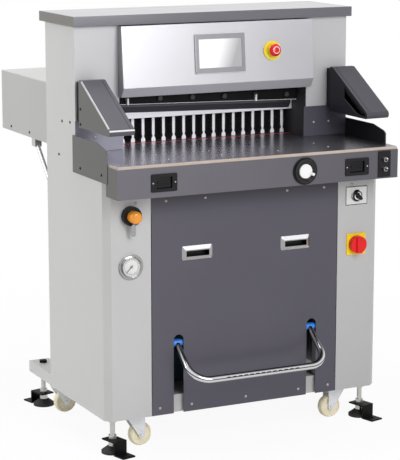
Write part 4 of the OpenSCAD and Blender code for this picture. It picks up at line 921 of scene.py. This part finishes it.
class CUTTER_OT_column_controls(CutterOperator, bpy.types.Operator):
    """Makes the selector, main switch, pressure valve and pressure gauge"""
    bl_idname = "cutter.column_controls"
    bl_label = "Column controls"

    def execute(self, context):
        sizes = context.scene.cutter_sizes
        self.switches(sizes)
        valve = dressed("pressure_valve", "pressure_collar", "black_plastic", width=sizes.hair_edge)
        face = FRONT_Y - 0.0182
        repaint(valve, "chrome", lambda place, turn: place.y < face)
        dressed("pressure_knob", "pressure_grip", "orange_plastic")
        self.gauge(sizes)
        return {"FINISHED"}

    def switches(self, sizes):
        """Makes the bordered selector plate, the yellow switch plate, and their knobs."""
        plates = dressed("switch_plates", "switch_base_plates", "yellow_plastic", width=sizes.fine_edge,
                         inset=sizes.plate_line)
        half = middle("switch_plates").z
        repaint(plates, "selector_plate", lambda place, turn: place.z > half)
        knob = middle("selector_knob")
        low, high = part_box("switch_plates")
        border = 0.0032
        wide = (high.x - low.x) / 2 - border
        tall = 0.030 - border
        repaint(plates, "black_plastic", lambda place, turn: place.z > half and faces_front(place, turn)
                and (abs(place.x - knob.x) > wide or abs(place.z - knob.z) > tall))
        dressed("selector_knob", "selector_grip", "black_plastic", width=sizes.small_edge)
        collar = turned([(0.0152, 0.0), (0.0152, 0.0052), (0.0172, 0.0058), (0.0192, 0.0045), (0.0196, 0.0)],
                        (knob.x, FRONT_Y - 0.002, knob.z), FORWARD)
        settle(soften(collar), "selector_collar", "chrome")
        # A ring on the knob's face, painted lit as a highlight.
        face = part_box("selector_knob")[0].y + 0.012
        ring = turned(band(0.0085, 0.0125, -0.0005, 0.0004), (knob.x, face, knob.z), FORWARD)
        settle(ring, "selector_ring", "lit_steel", NODES["selector_knob"]["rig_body"])
        dressed("main_switch_knob", "main_switch_grip", "red_plastic", width=sizes.knob_edge)

    def gauge(self, sizes):
        """Lays a white dial with ticks and a scale line behind the needle and the glass."""
        dressed("gauge_case", "gauge_rim", "chrome", width=sizes.small_edge)
        dressed("gauge_needle", "gauge_pointer", "black_steel")
        dressed("gauge_glass", "gauge_cover_glass", "clear_glass")
        spot = middle("gauge_case")
        spot.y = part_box("gauge_case")[0].y + 0.008
        dial = turned(band(0.0016, 0.0285, 0.0, 0.0005), spot, FORWARD)
        settle(dial, "gauge_dial", "white_plastic")
        scale = turned(band(0.0222, 0.0228, 0.0004, 0.0007), spot, FORWARD)
        top = spot + Vector((0.0, -0.0007, 0.0245))
        half = Vector((0.0004, 0.0003, sizes.tick / 2))
        tick = bar(top - half, top + half)
        edit(tick)
        bpy.ops.mesh.spin(steps=sizes.ticks, dupli=True, angle=math.tau, center=spot, axis=(0, 1, 0))
        close()
        settle(joined([tick, scale]), "gauge_scale", "black_steel")


class CUTTER_OT_front_fittings(CutterOperator, bpy.types.Operator):
    """Makes the flush handles and the clamp pedal"""
    bl_idname = "cutter.front_fittings"
    bl_label = "Front fittings"
    grip_marks = 13

    def execute(self, context):
        sizes = context.scene.cutter_sizes
        handles = dressed("panel_handles", "handle_hoods", "chrome", width=sizes.small_edge)
        # Hood tops are painted lit, and the lower lips take zinc's grey as a painted reflection on the
        # chrome.
        repaint(handles, "lit_steel", faces_up)
        repaint(handles, "zinc", faces_down)
        cup = FRONT_Y + 0.0005
        mouth = FRONT_Y - 0.0012
        repaint(handles, "black_plastic",
                lambda place, turn: place.y > cup or (abs(turn.y) < FORWARD_LEAN and place.y < mouth))
        self.pedal_tube(sizes)
        dressed("pedal_sleeves", "pedal_sleeve_rings", "blue_plastic", width=sizes.small_edge)
        self.pedal_grip(sizes)
        return {"FINISHED"}

    def pedal_tube(self, sizes):
        """Makes the pedal's tube, a little thicker where it stands out from the front panel."""
        tube = dressed("foot_pedal", "pedal_tube", "pedal_chrome")
        start = FRONT_Y - 0.012
        edit(tube, "DESELECT", "VERT")
        net = bmesh.from_edit_mesh(tube.data)
        for point in net.verts:
            point.select = point.co.y < start
        net.select_flush_mode()
        bmesh.update_edit_mesh(tube.data)
        bpy.ops.transform.shrink_fatten(value=sizes.pedal_more, use_even_offset=True)
        close()

    def pedal_grip(self, sizes):
        """Sets a row of dark grip marks along the front of the pedal's bar."""
        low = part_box("foot_pedal")[0]
        r = sizes.pedal_r
        out = r + sizes.pedal_more
        rise = math.radians(20)
        spot = Vector((0.0, low.y + r - out * math.cos(rise), low.z + r + out * math.sin(rise)))
        half = Vector((sizes.grip_pitch * 0.32, 0.0008, 0.0011))
        marks = []
        for count in range(self.grip_marks):
            here = spot + Vector(((count - self.grip_marks // 2) * sizes.grip_pitch, 0.0, 0.0))
            marks.append(bar(here - half, here + half))
        settle(joined(marks), "pedal_grip_marks", "black_steel", body=NODES["foot_pedal"]["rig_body"])


class CUTTER_OT_knife_group(CutterOperator, bpy.types.Operator):
    """Makes the knife, its carrier, the clamp and the back gauge"""
    bl_idname = "cutter.knife_group"
    bl_label = "Knife and gauge"
    pin_places = (-0.284, 0.169)

    def execute(self, context):
        sizes = context.scene.cutter_sizes
        carrier = dressed("knife_beam", "knife_carrier_bar", "black_steel", width=0.003, longer=0.3)
        # The bevel along the carrier's lower front edge is painted lit, as a highlight line.
        repaint(carrier, "lit_steel", lambda place, turn: -0.97 < turn.y < -0.75 and turn.z < -0.15)
        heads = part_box("knife_beam")[0].y + 0.0075
        repaint(carrier, "bolt_paint", lambda place, turn: place.y < heads)
        dressed("knife", "knife_blade", "knife_steel", width=sizes.hair_edge, longer=0.3)
        clamp = dressed("clamp_beam", "clamp_bar", "bright_steel", width=sizes.sheet_edge, longer=0.03)
        # The clamp's front is painted lit.
        repaint(clamp, "lit_steel", faces_front)
        self.carrier_pins()
        self.back_gauge(sizes)
        kept("knife_guide", "frame_paint")
        return {"FINISHED"}

    def carrier_pins(self):
        """Sets two bright pins just above the carrier's lower front edge."""
        points = points_of("knife_beam")
        face = min(points, key=lambda p: p.x).y
        front = [p for p in points if abs(p.y - face) < 0.001]
        left = min(front, key=lambda p: (round(p.x, 3), p.z))
        right = min(front, key=lambda p: p.z)
        slope = (right.z - left.z) / (right.x - left.x)
        half = 0.003
        proud = 0.0105
        sunk = 0.001
        pins = []
        for x in self.pin_places:
            bottom = left.z + slope * (x - left.x)
            pins.append(bar((x - half, face - proud, bottom + 0.001),
                            (x + half, face + sunk, bottom + 0.022), 0.001))
        settle(soften(joined(pins)), "carrier_pins", "lit_steel",
               NODES["knife_beam"]["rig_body"])

    def back_gauge(self, sizes):
        """Paints the fingers' fronts lit and darkens the bar behind them."""
        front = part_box("back_gauge")[0].y
        tall = 0.05
        gauge = dressed("back_gauge", "back_gauge_comb", "bright_steel", width=sizes.finger_edge, longer=tall,
                        test=lambda a, b: max(a.y, b.y) < front + 0.001 and abs(a.z - b.z) > tall, segments=4)
        repaint(gauge, "lit_steel", lambda place, turn: turn.y < -0.7)
        repaint(gauge, "black_steel", lambda place, turn: place.y > front + 0.0275)


class CUTTER_OT_hidden_works(CutterOperator, bpy.types.Operator):
    """Gives the frame, hydraulics, gauge drive and rear table their finishes"""
    bl_idname = "cutter.hidden_works"
    bl_label = "Frame and drives"

    def execute(self, context):
        edge = context.scene.cutter_sizes.sheet_edge
        dressed("portal_frame", "portal_plates", "frame_paint", width=edge, longer=0.02)
        dressed("rear_table", "rear_table_plate", "table_plating", edge, longer=0.02)
        dressed("hydraulic_unit", "hydraulic_tank", "tank_paint", width=0.003, longer=0.02)
        dressed("gauge_drive", "gauge_motor", "black_steel", width=0.0015, longer=0.01)
        dressed("rear_struts", "rear_strut_tubes", "zinc", width=edge, longer=0.01)
        kept("hydraulic_cylinders", "frame_paint")
        kept("lead_screw", "bright_steel")
        return {"FINISHED"}


class CUTTER_OT_feet_and_casters(CutterOperator, bpy.types.Operator):
    """Makes the levelling feet, floor anchors and casters"""
    bl_idname = "cutter.feet_and_casters"
    bl_label = "Feet and casters"

    def execute(self, context):
        sizes = context.scene.cutter_sizes
        edge = sizes.fine_edge
        feet = dressed("levelling_feet", "levelling_foot_rods", "zinc", width=edge)
        pad = 0.023
        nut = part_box("levelling_feet")[1].z - 0.010
        repaint(feet, "rubber", lambda place, turn: place.z < pad)
        repaint(feet, "black_steel", lambda place, turn: place.z > nut)
        dressed("anchor_brackets", "floor_anchor_brackets", "black_steel", width=sizes.sheet_edge,
                longer=0.004)
        for tag in ("fl", "fr", "rl", "rr"):
            dressed("caster_fork_" + tag, "caster_fork_plates_" + tag, "fork_plating", edge)
            wheel = dressed("caster_wheel_" + tag, "caster_tread_" + tag, "cream_plastic", width=edge)
            repaint_round(wheel, "zinc", middle("caster_wheel_" + tag), 0.0125)
        return {"FINISHED"}


class CUTTER_OT_screws(CutterOperator, bpy.types.Operator):
    """Puts a domed socket screw in the place of each plain screw"""
    bl_idname = "cutter.screws"
    bl_label = "Screws"
    head_width = 0.009
    head_rise = 0.0022

    def execute(self, context):
        head = turned([(0.0, 0.0009), (0.0014, 0.0009), (0.0014, 0.0022), (0.0026, 0.0020), (0.0038, 0.0013),
                       (0.0045, 0.0003), (0.0045, -0.0004), (0.0024, -0.0004), (0.0024, -0.0024),
                       (0.0, -0.0024)], ORIGIN, UPWARD, 24)
        soften(head)
        plain = copied("casing_screws")
        edit(plain)
        bpy.ops.mesh.separate(type="LOOSE")
        close()
        loose = list(bpy.context.selected_objects)
        heads = {True: [], False: []}
        for piece in loose:
            points = [v.co for v in piece.data.vertices]
            low = Vector([min(p[i] for p in points) for i in range(3)])
            high = Vector([max(p[i] for p in points) for i in range(3)])
            sideways = high.x - low.x < high.y - low.y
            heads[sideways].append(self.seated(head, low, high, sideways))
        for piece in loose + [head]:
            bpy.data.objects.remove(piece)
        settle(joined(heads[False]), "casing_screw_heads", "screw_plating", node="casing_screws")
        settle(joined(heads[True]), "side_screw_heads", "black_steel")
        return {"FINISHED"}

    def seated(self, head, low, high, sideways):
        """Copies the screw, at the plain one's size, to where its head meets the sheet."""
        spot = (low + high) / 2
        factor = (high.z - low.z) / self.head_width
        rise = self.head_rise * factor
        if sideways:
            side = 1.0 if spot.x > 0 else -1.0
            facing = (side, 0.0, 0.0)
            spot.x = (high.x if side > 0 else low.x) - side * rise
        else:
            facing = FORWARD
            spot.y = low.y + rise
        return twin(head, spot, aimed(facing), factor)


class CUTTER_OT_stage(CutterOperator, bpy.types.Operator):
    """Sets the white floor, soft studio lamps, pale surroundings and the camera"""
    bl_idname = "cutter.stage"
    bl_label = "Stage"
    lamps = (
        dict(name="left_softbox", place=(-3.9, 1.4, 2.6), target=(0.0, 0.0, 0.8), size=2.6, power=86.0,
             shade=(1.0, 0.99, 0.965)),
        dict(name="front_softbox", place=(0.2, -3.2, 2.4), target=(0.0, 0.0, 0.8), size=1.6, power=46.0,
             shade=(0.98, 0.98, 1.0)),
        dict(name="right_softbox", place=(1.2, -5.2, 1.7), target=(0.0, 0.0, 0.9), size=1.5, power=38.0,
             shade=(0.98, 0.98, 1.0)),
        dict(name="top_softbox", place=(-0.3, 0.3, 4.4), target=(0.0, 0.1, 0.9), size=2.6, power=80.0,
             shade=(1.0, 1.0, 1.0)),
    )
    floor_radius = 14.0
    floor_tint = (0.9, 0.9, 0.9, 1.0)
    shadow_reach = (0.5, 2.0)
    white_share = (0.93, 1.0)
    room_light = (0.25, 1.0)
    camera_place = (-2.6134, -5.4148, 1.7693)
    camera_turn = math.radians(-26.36)
    camera_rise = math.radians(11.14)
    camera_lens = 143.69

    def execute(self, context):
        scene = context.scene
        scene.view_settings.view_transform = "Standard"
        self.floor()
        self.surroundings(scene)
        for lamp in self.lamps:
            self.lamp(**lamp)
        self.camera(scene)
        return {"FINISHED"}

    def floor(self):
        """A round white floor that shows white to the camera and keeps the shadow."""
        bpy.ops.object.select_all(action="DESELECT")
        bpy.ops.mesh.primitive_circle_add(vertices=96, radius=self.floor_radius, fill_type="NGON",
                                          location=(0, 0, -0.0005))
        floor = bpy.context.object
        floor.name = "studio_floor"
        material = bpy.data.materials.new("studio_floor")
        nodes, link = opened(material)
        base = nodes["Principled BSDF"]
        base.inputs["Base Color"].default_value = self.floor_tint
        base.inputs["Roughness"].default_value = 0.9
        base.inputs["Specular IOR Level"].default_value = 0.1
        white = nodes.new("ShaderNodeEmission")
        away = worked(nodes, link, "LENGTH", object_place(nodes), kind="ShaderNodeVectorMath")
        level = ranged(nodes, link, away, self.shadow_reach, self.white_share)
        blend = nodes.new("ShaderNodeMixShader")
        link(worked(nodes, link, "MULTIPLY", self.seen(nodes, link), level), blend.inputs["Fac"])
        link(base.outputs["BSDF"], blend.inputs[1])
        link(white.outputs["Emission"], blend.inputs[2])
        link(blend.outputs["Shader"], nodes["Material Output"].inputs["Surface"])
        paint(floor, material)

    def seen(self, nodes, link):
        """One where a ray comes from the camera, a mirror or a glass."""
        path = nodes.new("ShaderNodeLightPath").outputs
        first = worked(nodes, link, "MAXIMUM", path["Is Camera Ray"], path["Is Glossy Ray"])
        return worked(nodes, link, "MAXIMUM", first, path["Is Transmission Ray"])

    def surroundings(self, scene):
        """White to the camera and in mirrors, dimmer as a light."""
        world = bpy.data.worlds.new("studio")
        nodes, link = opened(world)
        strength = ranged(nodes, link, self.seen(nodes, link), levels=self.room_light)
        link(strength, nodes["Background"].inputs["Strength"])
        nodes["Background"].inputs["Color"].default_value = (1.0, 1.0, 1.0, 1.0)
        scene.world = world

    def lamp(self, name, place, target, size, power, shade):
        """A square soft lamp that faces a point."""
        bpy.ops.object.select_all(action="DESELECT")
        bpy.ops.object.light_add(type="AREA", location=place)
        lamp = bpy.context.object
        lamp.name = name
        lamp.data.size = size
        lamp.data.energy = power
        lamp.data.color = shade
        lamp.rotation_euler = aimed(Vector(target) - Vector(place), "-Z")

    def camera(self, scene):
        """The photograph's viewpoint."""
        bpy.ops.object.select_all(action="DESELECT")
        bpy.ops.object.camera_add(location=self.camera_place)
        camera = bpy.context.object
        camera.name = "studio_camera"
        level = math.cos(self.camera_rise)
        back = Vector((math.sin(self.camera_turn) * level, -math.cos(self.camera_turn) * level,
                       math.sin(self.camera_rise)))
        camera.rotation_euler = aimed(-back, "-Z")
        camera.data.lens = self.camera_lens
        camera.data.sensor_width = 36.0
        scene.camera = camera


OPERATORS = (CUTTER_OT_casings, CUTTER_OT_dark_sheets, CUTTER_OT_control_panel, CUTTER_OT_table,
             CUTTER_OT_apron_controls, CUTTER_OT_column_controls, CUTTER_OT_front_fittings,
             CUTTER_OT_knife_group, CUTTER_OT_hidden_works, CUTTER_OT_feet_and_casters, CUTTER_OT_screws,
             CUTTER_OT_stage)


class CUTTER_PT_panel(bpy.types.Panel):
    """Lists the cutter's operators, colours and sizes"""
    bl_idname = "CUTTER_PT_panel"
    bl_label = "Paper Cutter"
    bl_space_type = "VIEW_3D"
    bl_region_type = "UI"
    bl_category = "Paper Cutter"

    def draw(self, context):
        column = self.layout.column()
        for operator in OPERATORS:
            column.operator(operator.bl_idname)
        for group in (context.scene.cutter_colours, context.scene.cutter_sizes):
            for name in group.__annotations__:
                column.prop(group, name)


CLASSES = (CutterColours, CutterSizes) + OPERATORS + (CUTTER_PT_panel,)


def register():
    for item in CLASSES:
        bpy.utils.register_class(item)
    bpy.types.Scene.cutter_colours = PointerProperty(type=CutterColours)
    bpy.types.Scene.cutter_sizes = PointerProperty(type=CutterSizes)


def unregister():
    del bpy.types.Scene.cutter_sizes
    del bpy.types.Scene.cutter_colours
    for item in reversed(CLASSES):
        bpy.utils.unregister_class(item)


def main():
    register()
    bpy.ops.cutter.casings()
    bpy.ops.cutter.dark_sheets()
    bpy.ops.cutter.control_panel()
    bpy.ops.cutter.table()
    bpy.ops.cutter.apron_controls()
    bpy.ops.cutter.column_controls()
    bpy.ops.cutter.front_fittings()
    bpy.ops.cutter.knife_group()
    bpy.ops.cutter.hidden_works()
    bpy.ops.cutter.feet_and_casters()
    bpy.ops.cutter.screws()
    bpy.ops.cutter.stage()


if __name__ == "__main__":
    main()
